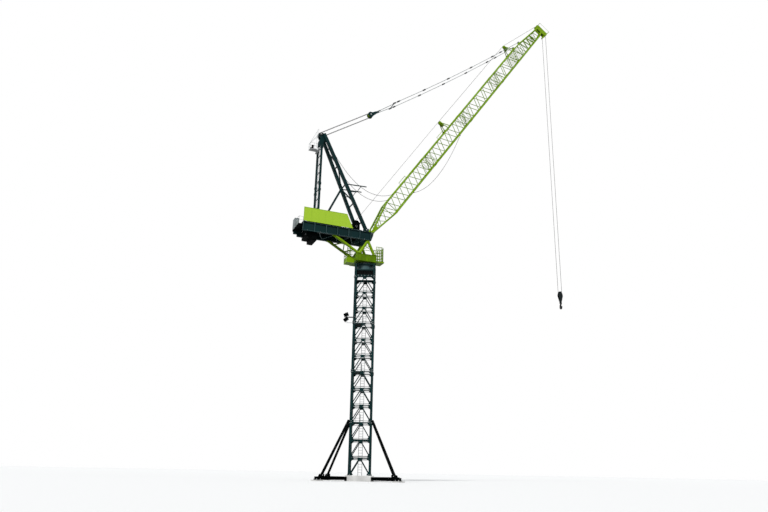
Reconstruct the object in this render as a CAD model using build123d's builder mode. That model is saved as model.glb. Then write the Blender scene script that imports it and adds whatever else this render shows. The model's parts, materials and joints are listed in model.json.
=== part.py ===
from build123d import *
from math import asin, atan2, cos, degrees, hypot, pi, radians, sin, tan
import os

# Luffing tower crane at 1:20, so 50 mm stands for one real metre.
# The jib lies over +X, +Z is up and the operator's right-hand side is -Y.
# The tower is built square to its own axes and turned under the jib at the end.

# General
slew_rest = 23.1         # how far the jib stands turned on the tower, degrees
luff_rest = 54.84        # jib above level, degrees
seat = 0.2               # gap between pieces that sit on each other
pin_play = 0.3           # radial play of a turning pin
rope_r = 0.9             # wire rope
luff_rope_r = 1.3        # the thicker luffing ropes
rope_gap = 0.3           # rope off the groove that it lies in
rope_break = 2.0         # left open where two runs of rope meet on a wheel

# Base
plinth_half = 80.0
plinth_height = 30.0
plinth_corner = 16.0
pad_size = 46.0
pad_thickness = 6.0
anchor_pcd = 34.0
anchor_hole_r = 2.2
beam_reach = 222.0       # outer end of a ground beam, along each axis
beam_width = 18.0
beam_height = 17.0
beam_flange = 3.0
beam_web = 5.0
strut_width = 14.0
strut_foot = 195.0       # foot of a strut, along each axis
gusset_thickness = 2.5
gusset_length = 28.0
gusset_height = 13.0

# Mast
mast_pitch = 114.0       # leg to leg
leg = 12.0
panel = 95.0
panels_per_section = 3
sections = 4
brace = 5.0
collar = 16.0            # splice collar on the legs
collar_height = 9.0
foot_plate = 22.0
foot_plate_thickness = 2.0
ladder_width = 20.0
ladder_rail = 2.6
rung = 1.6
rung_pitch = 15.0
ladder_back = 34.0       # ladder behind the mast axis
landing_thickness = 2.0
landing_depth = 78.0
landing_edge = 4.0       # landing stops short of the mast axis
hatch = 26.0

# Floodlights on the mast
lamp_height = 915.0
lamp_arm = 40.0
lamp_bar = 4.0
lamp_width = 26.0
lamp_depth = 16.0
lamp_tall = 16.0
lamp_spread = 14.0       # one lamp above the arm, one below

# Pedestal and slewing ring
pedestal_width = 126.0
pedestal_height = 80.0
pedestal_post = 13.0     # corner posts
pedestal_sill = 9.0
pedestal_window = 28.0   # open part over the sill
pedestal_plate = 6.0     # plates over and under the barrel
barrel_r = 55.0
barrel_wall = 5.0
barrel_hole_r = 5.0
ring_r = 50.0
ring_bore_r = 38.0
ring_height = 12.0
ring_gap = 0.5

# Slewing deck and pylon
deck_rear = 84.0
deck_front = 48.0
deck_half = 66.0
deck_height = 46.0
deck_corner = 5.0
deck_wall = 5.0
walk_thickness = 2.0
front_walk = 54.0        # reach of the front platform
front_walk_half = 34.0
front_walk_side = 18.0   # its middle lies to the right
front_walk_drop = 36.0   # its floor below the deck top
front_walk_edge = 9.0
rear_tray = 46.0         # reach of the rear platform
rear_tray_half = 30.0
rear_tray_side = 8.0     # its middle lies to the left
rear_tray_edge = 32.0
tray_clear = 6.0         # rear platform over the pedestal
pylon_bar = 16.0
pylon_in = 5.0           # pylon inside the girder's middle
pylon_rear = 66.0
pylon_front = 32.0
pylon_apex = 11.0
prop_head = 228.0

# Girders and machinery deck
girder_bottom = 1400.0
girder_height = 55.0
girder_offset = 62.5
girder_rear = 430.0
girder_front = 4.0
girder_flange = 15.0
girder_flange_thickness = 3.5
girder_web = 4.0
stiffener_pitch = 72.0
stiffener = 2.0
floor_thickness = 2.5
floor_front = 58.0
floor_half = 71.0
joist_width = 6.0
joist_height = 30.0
rear_walk = 28.0
rear_walk_drop = 18.0

# Counterweights
weight_rear = 402.0
weight_front = 336.0
weight_half = 53.0
weight_short = 30.0      # below the girders
weight_deep = 48.0
weight_slabs = 4
weight_split = 1.0
weight_chamfer = 5.0

# Side panels
panel_rear = 430.0
panel_far_rear = 370.0   # the left panel starts further forward
panel_front_low = 117.0
panel_front_high = 158.0
panel_low = 1458.5
panel_high = 1546.0
panel_thickness = 2.0
panel_gap = 1.0
post_size = 5.0

# A-frame
frame_foot = 23.0
frame_head_x = 303.0
frame_head_z = 2058.0
frame_foot_half = 62.0
frame_head_half = 27.0
frame_leg = 18.0
frame_brace = 6.0
frame_first = 65.0       # lowest cross bar above the girders
frame_levels = 5
head_back = 33.0         # luffing axle behind and above the leg ends
head_rise = 28.0
head_cheek = 6.0
head_sheave_r = 14.0
axle_r = 4.0
tie_x = 334.0
tie_half = 42.0
tie_width = 12.0
tie_rung = 4.0
tie_drop = 58.0          # top of the ties below the leg ends
tie_rungs = 9
knee_width = 12.0
stop_reach = 26.0        # front of the back stops, behind the tower axis
stop_width = 5.0
basket_front = 352.0
basket_rear = 402.0
basket_half = 18.0
basket_drop = 28.0       # basket floor below the top of the ties

# Machinery
drum_x = 84.0
drum_r = 21.0
drum_half = 30.0
drum_flange = 5.0
luff_drum_x = 262.0
luff_drum_r = 18.0
winch_post = 6.0
winch_over = 14.0        # side plates above the drum flanges
drum_clear = 6.0
cabinet_depth = 26.0
cabinet_width = 50.0
cabinet_height = 64.0
cabinet_side = 46.0      # its middle lies to the left

# Jib
pivot_x = 12.3
pivot_z = 1449.5
pin_r = 4.0
lug_r = 10.0
lug_width = 7.0
foot_half = 46.5
bracket_width = 8.0
jib_half = 37.5
jib_up = 50.0
jib_down = 40.0
root_length = 255.0
root_chord = 10.0
root_plate = 72.0        # web plate behind the foot lugs
root_plate_thickness = 4.0
root_rungs = 7
main_length = 1907.0     # parallel part of the jib
bays = 18
chord = 8.0
jib_brace = 3.0
tip_reach = 320.0        # both head sheaves, beyond the parallel part
tip_bays = 5
tip_up = 21.0
nose_back = 78.0         # chords stop short of the head sheaves
nose_tie = 7.0           # cross tubes at the chord ends
nose_up = 14.0
nose_down = 62.0
nose_cap_r = 19.0        # cheek plates round the head sheaves
nose_arm = 12.0
nose_sheave_r = 17.0
nose_axle_r = 3.0
nose_half = 14.0
nose_plate = 4.0
post_back = 105.0        # far rope post behind the end of the parallel part
post_spacing = 991.0
post_up = 117.0
post_sheave_r = 14.0
post_cap_r = 9.0
post_cap = 24.0
post_cap_plate = 3.0
post_bar = 4.0
post_stance = 12.0
post_cheek = 9.0
sheave_width = 8.0
groove = 2.0
rim = 1.0                # flat edge of a sheave

# Pendants and floating block
block_sheave_r = 14.5
block_disc_r = 19.0
block_plate = 4.0
block_neck = 50.0        # end of the block's broad arm, from its axle
block_neck_width = 10.0
block_tail = 84.0        # end of its slim link
block_tail_width = 6.0
spreader_bar = 6.0
link_bar = 3.0
spreader_half = 35.8
pendant_length = 1328.0  # from the anchor to the spreader
block_link = 196.0       # from the spreader to the floating block
pendant_sag = 28.0       # how far the line hangs below its straight run
pendant_width = 2.8
pendant_first = 218.0    # first coupler from the anchor
pendant_short = 98.0     # second coupler from the first
pendant_pitch = 244.0
pendant_couplers = 5     # from the second one on
coupler = 7.0
coupler_length = 20.0
rope_spread = 11.0       # luffing ropes, either side of the middle
pendant_lift = 6.2       # pendant end above the chord

# Hook
fall_inset = 18.0        # dead end behind the head axle
fall_drop = 41.0
fork_gap = 1.2
fork_plate = 3.0
fork_width = 9.0
hook_lean = 26.0         # hook behind the head axle
hook_block_z = 1252.0
hook_sheave_r = 16.0
hook_plate = 3.0
hook_top = 22.0          # ends of the block's plates over and under the axle
hook_low = 48.0
hook_widest = 17.5
hook_collar_r = 8.0      # swivel collar under the plates
hook_collar = 20.0
hook_neck_r = 4.0
hook_neck = 6.0
hook_r = 13.0
hook_bar = 4.6
hook_turn = 69.0         # hook turned on its swivel

# Loose cables
cable_r = 1.2
cable_runs = 14
cable_clip_in = 4.0      # clips inside the middle of the A-frame leg
cable_high_z = 1984.0    # clip of the upper cable on the A-frame
cable_high_s = 330.0     # its clip along the jib
cable_high_sag = 110.0
cable_low_z = 1806.0
cable_low_s = 275.0
cable_low_sag = 62.0
cable_under_start = 455.0
cable_under_end = 1078.0
cable_under_sag = 95.0

# Derived sizes
luff = radians(luff_rest)
beam_top = pad_thickness + seat + beam_height
section = panel * panels_per_section
mast_foot = plinth_height + seat
mast_top = mast_foot + sections * section
pedestal_bottom = mast_top + seat
pedestal_top = pedestal_bottom + pedestal_height
ring_bottom = pedestal_top + seat
ring_top = ring_bottom + ring_height
deck_bottom = ring_top + ring_gap
deck_top = deck_bottom + deck_height
girder_top = girder_bottom + girder_height
floor_bottom = girder_top + seat
floor_top = floor_bottom + floor_thickness
main_end = root_length + main_length
nose_s = main_end + tip_reach
tip_fall = (jib_up - tip_up) / (tip_reach - nose_back)
post_far = main_end - post_back
post_near = post_far - post_spacing
head_x = frame_head_x + head_back
head_z = frame_head_z + head_rise
tie_top = frame_head_z - tie_drop
level_pitch = (tie_top - girder_top - frame_first) / (frame_levels - 1)
levels = [girder_top + frame_first + step * level_pitch for step in range(frame_levels)]
knee_height = levels[frame_levels // 2]
basket_floor = tie_top - basket_drop
sheave_half = sheave_width / 2
groove_half = sheave_half - rim
groove_slope = hypot(groove, groove_half) / groove_half
rope_rise = (rope_r + rope_gap) * groove_slope - groove
luff_rise = (luff_rope_r + rope_gap) * groove_slope - groove
leg_inner = mast_pitch / 2 - leg / 2


def bar(start, end, width, flat=(0, 1, 0), sides=4):
    """One straight bar of few sides, one side square to the flat direction."""
    start = Vector(*start)
    run = Vector(*end) - start
    along = run.normalized()
    flat = Vector(*flat) if abs(Vector(*flat).dot(along)) < 0.99 else Vector(1, 0, 0)
    across = flat - along * flat.dot(along)
    place = Plane(origin=start, x_dir=across.normalized(), z_dir=along)
    with BuildPart(mode=Mode.PRIVATE) as piece:
        with BuildSketch(place):
            RegularPolygon(width / 2, sides, major_radius=False, rotation=180 / sides)
        extrude(amount=run.length)
    return piece.part


def longer(start, end, more):
    """Both ends of a line, moved outwards."""
    start = Vector(*start)
    end = Vector(*end)
    step = (end - start).normalized() * more
    return tuple(start - step), tuple(end + step)


def jib_point(along, above, side):
    """A point given along the jib, square to it and sideways."""
    x = pivot_x + along * cos(luff) - above * sin(luff)
    z = pivot_z + along * sin(luff) + above * cos(luff)
    return (x, side, z)


def jib_plane(along, above, side, turn=0.0):
    """A plane square to Y with its x direction along the jib, or turned from it in radians."""
    x_dir = (cos(luff + turn), 0, sin(luff + turn))
    return Plane(origin=jib_point(along, above, side), x_dir=x_dir, z_dir=(0, -1, 0))


def sheave(radius, pin, place):
    """A grooved wheel that turns about the normal of its place."""
    with BuildPart(mode=Mode.PRIVATE) as wheel:
        with BuildSketch(Plane.XZ):
            with BuildLine():
                Polyline(
                    (pin + pin_play, -sheave_half),
                    (radius, -sheave_half),
                    (radius, -groove_half),
                    (radius - groove, 0),
                    (radius, groove_half),
                    (radius, sheave_half),
                    (pin + pin_play, sheave_half),
                    close=True,
                )
            make_face()
        revolve(axis=Axis.Z)
    return place * wheel.part


def tangent(a, ra, b, rb):
    """Ends of a straight rope between two wheels, on the left of its run for radii over zero."""
    turn = atan2(b[1] - a[1], b[0] - a[0])
    turn += asin((rb - ra) / hypot(b[0] - a[0], b[1] - a[1]))
    return [(p[0] - r * sin(turn), p[1] + r * cos(turn)) for p, r in ((a, ra), (b, rb))]


def mast_face(low, width):
    """Bracing of one mast section in the XZ plane: level bars and inverted V bars."""
    bars = []
    for step in range(panels_per_section):
        foot = low + step * panel
        head = foot + panel - brace / 2 - seat
        bars.append(bar((-width, 0, head), (width, 0, head), brace))
        bars.append(bar((-width, 0, foot), (0, 0, head), brace))
        bars.append(bar((width, 0, foot), (0, 0, head), brace))
    return bars


def tray(start, reach, middle, half, low, edge):
    """A platform with a floor plate and upright edges, reaching along X."""
    with BuildPart(mode=Mode.PRIVATE) as piece:
        with BuildSketch(Plane.XY.offset(low)):
            with Locations((start + reach / 2, middle)):
                Rectangle(abs(reach), 2 * half)
        extrude(amount=edge)
        with BuildSketch(Plane.XY.offset(low + walk_thickness)):
            with Locations((start + reach / 2, middle)):
                Rectangle(abs(reach) - 2 * walk_thickness, 2 * (half - walk_thickness))
        extrude(amount=edge, mode=Mode.SUBTRACT)
    return piece.part


def zigzag(points, width, flat):
    """Bars that join each point to the next."""
    return [bar(a, b, width, flat) for a, b in zip(points, points[1:])]


# Base: pale plinth under the mast
with BuildPart() as plinth:
    with BuildSketch() as outline:
        Rectangle(2 * plinth_half, 2 * plinth_half)
        chamfer(outline.vertices(), plinth_corner)
    extrude(amount=plinth_height)
    chamfer(plinth.faces().sort_by(Axis.Z)[-1].edges(), 2)

# Ground beams, one to each corner, with the gussets that hold the struts
beam_start = (2 * plinth_half - plinth_corner) / 2**0.5 + seat
beam_end = beam_reach * 2**0.5
strut_r = strut_foot * 2**0.5
with BuildPart() as one_beam:
    with BuildSketch(Plane.YZ.offset(beam_start)):
        with Locations((0, pad_thickness + seat + beam_height / 2)):
            Rectangle(beam_web, beam_height)
        with Locations((0, pad_thickness + seat + beam_flange / 2), (0, beam_top - beam_flange / 2)):
            Rectangle(beam_width, beam_flange)
    extrude(amount=beam_end - beam_start)
    with BuildSketch(Plane.YZ.offset(beam_start), Plane.YZ.offset(beam_end - beam_flange)):
        with Locations((0, pad_thickness + seat + beam_height / 2)):
            Rectangle(beam_width, beam_height)
    extrude(amount=beam_flange)
    cheek_gap = strut_width / 2 + pin_play
    for offset in (-cheek_gap - gusset_thickness, cheek_gap):
        with BuildSketch(Plane.XZ.offset(offset)):
            with BuildLine():
                Polyline(
                    (strut_r - gusset_length / 2, beam_top),
                    (strut_r + gusset_length / 2, beam_top),
                    (strut_r + gusset_length / 5, beam_top + gusset_height),
                    (strut_r - gusset_length / 2, beam_top + gusset_height),
                    close=True,
                )
            make_face()
        extrude(amount=gusset_thickness)

with BuildPart() as ground_beams:
    with PolarLocations(0, 4, start_angle=45):
        add(one_beam.part)

# Pads under the beam ends, with anchor holes
pad_r = beam_end - pad_size / 4
with BuildPart() as foot_pads:
    with PolarLocations(pad_r, 4, start_angle=45):
        Box(pad_size, pad_size, pad_thickness, align=(Align.CENTER, Align.CENTER, Align.MIN))
    with PolarLocations(pad_r, 4, start_angle=45):
        with PolarLocations(anchor_pcd / 2, 4, start_angle=45):
            Hole(anchor_hole_r, pad_thickness * 4)

# Raking struts from the first mast joint to the beams
leg_corner = (mast_pitch + collar) / 2**0.5
strut_head_z = mast_foot + section
strut_fall = atan2(strut_head_z - beam_top, strut_r - leg_corner)
strut_head = leg_corner + seat + strut_width / 2 * sin(strut_fall)
strut_low = beam_top + 2 * seat + strut_width / 2 * cos(strut_fall)
strut_over = strut_width * 0.6
with BuildPart() as base_struts:
    head = (strut_head - strut_over * cos(strut_fall), 0, strut_head_z + strut_over * sin(strut_fall))
    with PolarLocations(0, 4, start_angle=45):
        add(bar(head, (strut_r, 0, strut_low), strut_width, (0, 1, 0), 8))
    with GridLocations(mast_pitch, mast_pitch, 2, 2):
        Box(collar + 2 * seat, collar + 2 * seat, 2 * mast_top, mode=Mode.SUBTRACT)

# Mast: one side frame of a section, with splice collars on the legs
with BuildPart() as mast_module:
    high = section - seat
    pieces = mast_face(0, mast_pitch / 2)
    for x in (-mast_pitch / 2, mast_pitch / 2):
        pieces.append(bar((x, 0, 0), (x, 0, high), leg))
        pieces.append(bar((x, 0, 0), (x, 0, collar_height), collar))
        pieces.append(bar((x, 0, high - collar_height), (x, 0, high), collar))
    add(pieces)
    with Locations((0, 0, high / 2)):
        Box(2 * mast_pitch, 2 * collar, high, mode=Mode.INTERSECT)

# Mast: the sections stacked on foot plates
with BuildPart() as mast_side:
    for number in range(sections):
        with Locations((0, 0, mast_foot + number * section)):
            add(mast_module.part)
    for x in (-mast_pitch / 2, mast_pitch / 2):
        with Locations((x, 0, mast_foot + foot_plate_thickness / 2)):
            Box(foot_plate, foot_plate, foot_plate_thickness)

# Mast: front and rear bracing between the side frames
with BuildPart() as face_bracing:
    for number in range(sections):
        add(mast_face(mast_foot + number * section, mast_pitch / 2))
    inside = leg_inner - seat
    Box(2 * inside, leg, 2 * mast_top, mode=Mode.INTERSECT)
    for number in range(sections):
        for end in (mast_foot + number * section, mast_foot + (number + 1) * section):
            for x in (-mast_pitch / 2, mast_pitch / 2):
                with Locations((x, 0, end)):
                    Box(collar + 2 * seat, leg, 2 * (collar_height + seat), mode=Mode.SUBTRACT)

# Landings inside the mast at the section joints
ladder_half = ladder_width / 2
landing_side = mast_pitch / 2 - brace / 2 - seat
with BuildPart() as landings:
    for number in range(1, sections):
        level = mast_foot + number * section - brace / 2 - seat
        with BuildSketch(Plane.XY.offset(level - landing_thickness / 2)):
            with Locations((-(landing_side + landing_edge) / 2, 0)):
                Rectangle(landing_side - landing_edge, landing_depth)
            with Locations((0, landing_depth / 2 - hatch / 2)):
                Rectangle(ladder_width + 2 * ladder_rail, hatch, mode=Mode.SUBTRACT)
        extrude(amount=landing_thickness)

# Ladder through the hatches
with BuildPart() as mast_ladder:
    rail_x = ladder_half + ladder_rail / 2 - seat
    low = plinth_height + seat
    pieces = []
    for x in (-rail_x, rail_x):
        pieces.append(bar((x, ladder_back, low), (x, ladder_back, mast_top - rung), ladder_rail))
    count = int((mast_top - low) / rung_pitch) - 1
    for step in range(1, count):
        z = low + step * rung_pitch
        pieces.append(bar((-rail_x, ladder_back, z), (rail_x, ladder_back, z), rung))
    add(pieces)

# Pair of floodlights on an arm at the left front leg
lamp_x = -mast_pitch / 2 - leg / 2 - seat - lamp_arm
with BuildPart() as floodlights:
    with Locations((lamp_x + lamp_arm / 2, -mast_pitch / 2, lamp_height)):
        Box(lamp_arm, lamp_bar, lamp_bar)
    with Locations((lamp_x, -mast_pitch / 2, lamp_height)):
        Box(lamp_bar, lamp_bar, 2 * lamp_spread)
    with BuildSketch(Plane.XZ.offset(mast_pitch / 2 - lamp_depth / 2)):
        for z, turn in ((lamp_height + lamp_spread, 25), (lamp_height - lamp_spread, 40)):
            with Locations(Location((lamp_x, z), turn)):
                Trapezoid(lamp_width, lamp_tall, 72)
    extrude(amount=lamp_depth)

# Pedestal between the mast and the slewing ring: corner posts, sill, and a barrel between two plates
barrel_low = pedestal_bottom + pedestal_sill + pedestal_window
post_mid = pedestal_width - pedestal_post
with BuildPart() as pedestal:
    with BuildSketch(Plane.XY.offset(pedestal_bottom)):
        with GridLocations(post_mid, post_mid, 2, 2):
            Rectangle(pedestal_post, pedestal_post)
    extrude(amount=pedestal_height)
    with BuildSketch(Plane.XY.offset(pedestal_bottom)):
        Rectangle(pedestal_width, pedestal_width)
        Rectangle(post_mid - pedestal_post, post_mid - pedestal_post, mode=Mode.SUBTRACT)
    extrude(amount=pedestal_sill)
    with BuildSketch(Plane.XY.offset(barrel_low), Plane.XY.offset(pedestal_top - pedestal_plate)):
        Rectangle(pedestal_width, pedestal_width)
        Circle(ring_bore_r, mode=Mode.SUBTRACT)
    extrude(amount=pedestal_plate)
    with BuildSketch(Plane.XY.offset(barrel_low)):
        Circle(barrel_r)
        Circle(barrel_r - barrel_wall, mode=Mode.SUBTRACT)
    extrude(amount=pedestal_top - barrel_low)
    with BuildSketch(Plane.XZ):
        with Locations((0, (barrel_low + pedestal_top) / 2)):
            Circle(barrel_hole_r)
    extrude(amount=pedestal_width, mode=Mode.SUBTRACT)

with BuildPart() as slew_ring:
    with BuildSketch(Plane.XY.offset(ring_bottom)):
        Circle(ring_r)
        Circle(ring_bore_r, mode=Mode.SUBTRACT)
    extrude(amount=ring_height)

# Slewing deck, a box over the ring
with BuildPart() as slew_deck:
    with BuildSketch(Plane.XY.offset(deck_bottom)):
        with Locations(((deck_front - deck_rear) / 2, 0)):
            RectangleRounded(deck_rear + deck_front, 2 * deck_half, deck_corner)
    extrude(amount=deck_height)
    with BuildSketch(Plane.XY.offset(deck_bottom)):
        Circle(ring_bore_r)
    extrude(amount=deck_wall, mode=Mode.SUBTRACT)

# Platforms at the front and the rear of the slewing deck
front_low = deck_top - front_walk_drop - walk_thickness
rear_low = pedestal_top + tray_clear
with BuildPart() as slew_platforms:
    add(tray(deck_front + seat, front_walk, -front_walk_side, front_walk_half, front_low, front_walk_edge))
    add(tray(-deck_rear - seat, -rear_tray, rear_tray_side, rear_tray_half, rear_low, rear_tray_edge))

# Pylon: on each side an A of tubes and a raking prop, cut flush with the deck and the girders
pylon_low = deck_top + seat
pylon_high = girder_bottom - seat
pylon_y = girder_offset - pylon_in
pylons = {}
for name, y in (("right", -pylon_y), ("left", pylon_y)):
    apex = (-pylon_apex, y, girder_bottom)
    rear_foot = (-pylon_rear, y, deck_top)
    front_foot = (pylon_front, y, deck_top)
    head = (-prop_head, y, girder_bottom)
    with BuildPart() as pylon:
        for low, high in ((rear_foot, apex), (front_foot, apex), (rear_foot, head)):
            add(bar(*longer(low, high, 2 * pylon_bar), pylon_bar, sides=8))
        with Locations((0, y, (pylon_low + pylon_high) / 2)):
            Box(4 * prop_head, 2 * pylon_bar, pylon_high - pylon_low, mode=Mode.INTERSECT)
    pylons[f"pylon_{name}"] = pylon.part

# Zig-zag bars between the two raking props
prop_in = pylon_y - pylon_bar / 2 - seat
with BuildPart() as rear_props:
    steps = []
    for number, share in enumerate((0.2, 0.4, 0.6, 0.8)):
        y = pylon_y if number % 2 else -pylon_y
        x = -pylon_rear - share * (prop_head - pylon_rear)
        steps.append((x, y, deck_top + share * (girder_bottom - deck_top)))
    add(zigzag(steps, brace, (0, 1, 0)))
    with Locations((-prop_head, 0, (pylon_low + pylon_high) / 2)):
        Box(4 * prop_head, 2 * prop_in, pylon_high - pylon_low, mode=Mode.INTERSECT)

# Girders with stiffeners and the bracket that carries the jib pin
girders = {}
pin_in = foot_half - lug_width / 2 - 2
for name, side in (("right", -1), ("left", 1)):
    y = side * girder_offset
    with BuildPart() as girder:
        with BuildSketch(Plane.YZ.offset(-girder_rear)):
            with Locations((y, girder_bottom + girder_height / 2)):
                Rectangle(girder_web, girder_height)
            flange_z = girder_flange_thickness / 2
            with Locations((y, girder_bottom + flange_z), (y, girder_top - flange_z)):
                Rectangle(girder_flange, girder_flange_thickness)
        extrude(amount=girder_rear + girder_front)
        count = int((girder_rear + girder_front) / stiffener_pitch) + 1
        for step in range(count):
            x = -girder_rear + stiffener / 2 + step * stiffener_pitch
            with Locations((x, y, girder_bottom + girder_height / 2)):
                Box(stiffener, girder_flange - stiffener, girder_height - girder_flange_thickness)
        inner = y - side * girder_flange / 2
        with BuildSketch(Plane.XZ.offset(-(inner + side * bracket_width / 2) - bracket_width / 2)):
            with BuildLine():
                Polyline(
                    (girder_front - 24, girder_bottom),
                    (girder_front + 4, girder_bottom),
                    (pivot_x + lug_r, pivot_z - lug_r),
                    (pivot_x + lug_r, girder_top + 3),
                    (girder_front - 12, girder_top),
                    (girder_front - 24, girder_top),
                    close=True,
                )
            make_face()
        extrude(amount=bracket_width)
        with BuildSketch(Plane.XZ.offset(-side * pin_in)):
            with Locations((pivot_x, pivot_z)):
                Circle(pin_r)
        extrude(amount=-side * (girder_offset - pin_in))
    girders[f"girder_{name}"] = girder.part

# Machinery deck: floor plate on the girders with joists below, and a walk behind the girders
walk_mid = -girder_rear - seat - rear_walk / 2
walk_level = girder_top - rear_walk_drop
with BuildPart() as machinery_deck:
    with Locations((-(girder_rear + floor_front) / 2, 0, floor_bottom + floor_thickness / 2)):
        Box(girder_rear - floor_front, 2 * floor_half, floor_thickness)
    joist_span = 2 * (girder_offset - girder_flange / 2 - seat)
    first = weight_front - 2 * joist_width
    for x in (floor_front + joist_width, drum_x, luff_drum_x, first):
        with Locations((-x, 0, floor_bottom - joist_height / 2)):
            Box(joist_width, joist_span, joist_height)
    with Locations((walk_mid, 0, walk_level)):
        Box(rear_walk, 2 * floor_half, walk_thickness)
    for y in (-girder_offset, girder_offset):
        with Locations((walk_mid, y, walk_level - 5)):
            Box(rear_walk, 4, 10)

# Service platform behind the A-frame head
basket_mid = (basket_front + basket_rear) / 2
tie_back = tie_x + tie_width / 2 + seat
with BuildPart() as service_platforms:
    with Locations((-basket_mid, 0, basket_floor)):
        Box(basket_rear - basket_front, 2 * basket_half, walk_thickness)
    with Locations((-(tie_back + basket_front) / 2, 0, basket_floor)):
        Box(basket_front - tie_back, 2 * tie_half, 8)

# Cabinet on the rear walk
with BuildPart() as rear_cabinet:
    with BuildSketch(Plane.XY.offset(walk_level + walk_thickness / 2 + seat)):
        with Locations((walk_mid, cabinet_side)):
            Rectangle(cabinet_depth, cabinet_width)
    extrude(amount=cabinet_height)
    chamfer(rear_cabinet.faces().sort_by(Axis.Z)[-1].edges(), 1.5)

# Counterweight slabs hanging between the girders
slab_pitch = (weight_rear - weight_front) / weight_slabs
with BuildPart() as counterweights:
    for step in range(weight_slabs):
        drop = weight_short if step < weight_slabs / 2 else weight_deep
        x = -weight_rear + (step + 0.5) * slab_pitch
        with BuildSketch(Plane.YZ.offset(x - (slab_pitch - weight_split) / 2)) as slab:
            with Locations((0, (floor_bottom - seat + girder_bottom - drop) / 2)):
                Rectangle(2 * weight_half, floor_bottom - seat - girder_bottom + drop)
            chamfer(slab.vertices().group_by(Axis.Z)[0], weight_chamfer)
        extrude(amount=slab_pitch - weight_split)

# Bare side panels on posts
with BuildPart() as side_panels:
    for side in (-1, 1):
        face_y = side * (floor_half + panel_gap)
        rear = panel_rear if side < 0 else panel_far_rear
        with BuildSketch(Plane.XZ.offset(-face_y if side < 0 else -face_y - panel_thickness)):
            with BuildLine():
                Polyline(
                    (-rear, panel_low),
                    (-panel_front_low, panel_low),
                    (-panel_front_high, panel_high),
                    (-rear, panel_high),
                    close=True,
                )
            make_face()
        extrude(amount=panel_thickness)
        reach = rear - panel_front_high - 2 * post_size
        low = floor_top + seat
        post_y = side * (floor_half + panel_gap - post_size / 2)
        for step in range(5):
            with Locations((-rear + post_size + step * reach / 4, post_y, (low + panel_high) / 2)):
                Box(post_size, post_size, panel_high - low)

# A-frame: front legs with zig-zag bracing, standing on the girders
lean = (frame_head_x - frame_foot) / (frame_head_z - girder_top)
slope_y = (frame_foot_half - frame_head_half) / (frame_head_z - girder_top)


def frame_point(z, side):
    """A point on the centre line of an A-frame front leg."""
    up = z - girder_top
    return (-frame_foot - lean * up, side * (frame_foot_half - slope_y * up), z)


with BuildPart() as a_frame_front:
    pieces = []
    for side in (-1, 1):
        foot = frame_point(girder_top - 2 * frame_leg, side)
        pieces.append(bar(foot, frame_point(frame_head_z, side), frame_leg))
    for z in levels:
        pieces.append(bar(frame_point(z, -1), frame_point(z, 1), frame_brace, (1, 0, 0)))
    for number, (low, high) in enumerate(zip(levels[1:], levels[2:])):
        side = 1 if number % 2 else -1
        pieces.append(bar(frame_point(low, side), frame_point(high, -side), frame_brace, (1, 0, 0)))
    add(pieces)
    with Locations((-frame_head_x / 2, 0, girder_top + seat + frame_head_z / 2)):
        Box(2 * frame_head_x, 4 * frame_foot_half, frame_head_z, mode=Mode.INTERSECT)

# A-frame head: cheek plates that carry the luffing sheaves
cheek_in = frame_head_half - frame_leg / 2 - seat
with BuildPart() as a_frame_head:
    for y in (-cheek_in, cheek_in - head_cheek):
        with BuildSketch(Plane.XZ.offset(-y - head_cheek)):
            with BuildLine():
                Polyline(
                    (-head_x - 9, tie_top + seat),
                    (-head_x + 13, tie_top + seat),
                    (-head_x + 23, head_z - 40),
                    (-head_x + 40, head_z - 40),
                    (-head_x + 45, head_z - 30),
                    (-head_x + 30, head_z + 2),
                    (-head_x + 18, head_z + 10),
                    (-head_x, head_z + 11),
                    (-head_x - 12, head_z + 4),
                    (-head_x - 13, head_z - 10),
                    (-head_x, head_z - 28),
                    (-head_x - 9, head_z - 50),
                    close=True,
                )
            make_face()
        extrude(amount=head_cheek)
    with Locations((-tie_x, 0, tie_top + 12)):
        Box(tie_width, 2 * cheek_in, 8)
    with BuildSketch(Plane.XZ.offset(-cheek_in)):
        with Locations((-head_x, head_z)):
            Circle(axle_r)
    extrude(amount=2 * cheek_in)

with BuildPart() as head_sheaves:
    for y in (-rope_spread / 2, rope_spread / 2):
        add(sheave(head_sheave_r, axle_r, Pos(-head_x, y, head_z) * Rot(90, 0, 0)))

# A-frame: rear ties with rungs, from the deck to the head
with BuildPart() as a_frame_ties:
    pieces = []
    for side in (-1, 1):
        y = side * tie_half
        pieces.append(bar((-tie_x, y, floor_top + seat), (-tie_x, y, tie_top), tie_width))
    beam_z = tie_top - tie_width / 2
    pieces.append(bar((-tie_x, -tie_half, beam_z), (-tie_x, tie_half, beam_z), tie_width))
    for step in range(1, tie_rungs):
        z = floor_top + step * (beam_z - floor_top) / tie_rungs
        pieces.append(bar((-tie_x, -tie_half, z), (-tie_x, tie_half, z), tie_rung, (1, 0, 0)))
    add(pieces)

# Knee strut from the deck to the middle of the front legs
knee_x = frame_point(knee_height, 0)[0]
with BuildPart() as knee_strut:
    clear = frame_brace / 2 + knee_width / 2 + seat
    low = (-tie_x + tie_width, 0, floor_top - 2 * knee_width)
    add(bar(low, (knee_x - clear, 0, knee_height - clear), knee_width))
    with Locations((-tie_x, 0, floor_top + seat + knee_height / 2)):
        Box(2 * tie_x, 4 * knee_width, knee_height, mode=Mode.INTERSECT)

# Back stops that meet the jib at its steepest
with BuildPart() as back_stops:
    for side in (-1, 1):
        x, y, z = frame_point(knee_height, side)
        x += frame_leg * 0.62
        middle = (x - stop_reach) / 2
        add(
            [
                bar((x, y, z), (-stop_reach, y, z + 6), stop_width),
                bar((x + 22, y, z - 46), (middle, y, z - 42), stop_width * 0.8),
                bar((middle, y, z - 42), (-stop_reach - 36, y, z + 4), stop_width * 0.8),
            ]
        )

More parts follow.
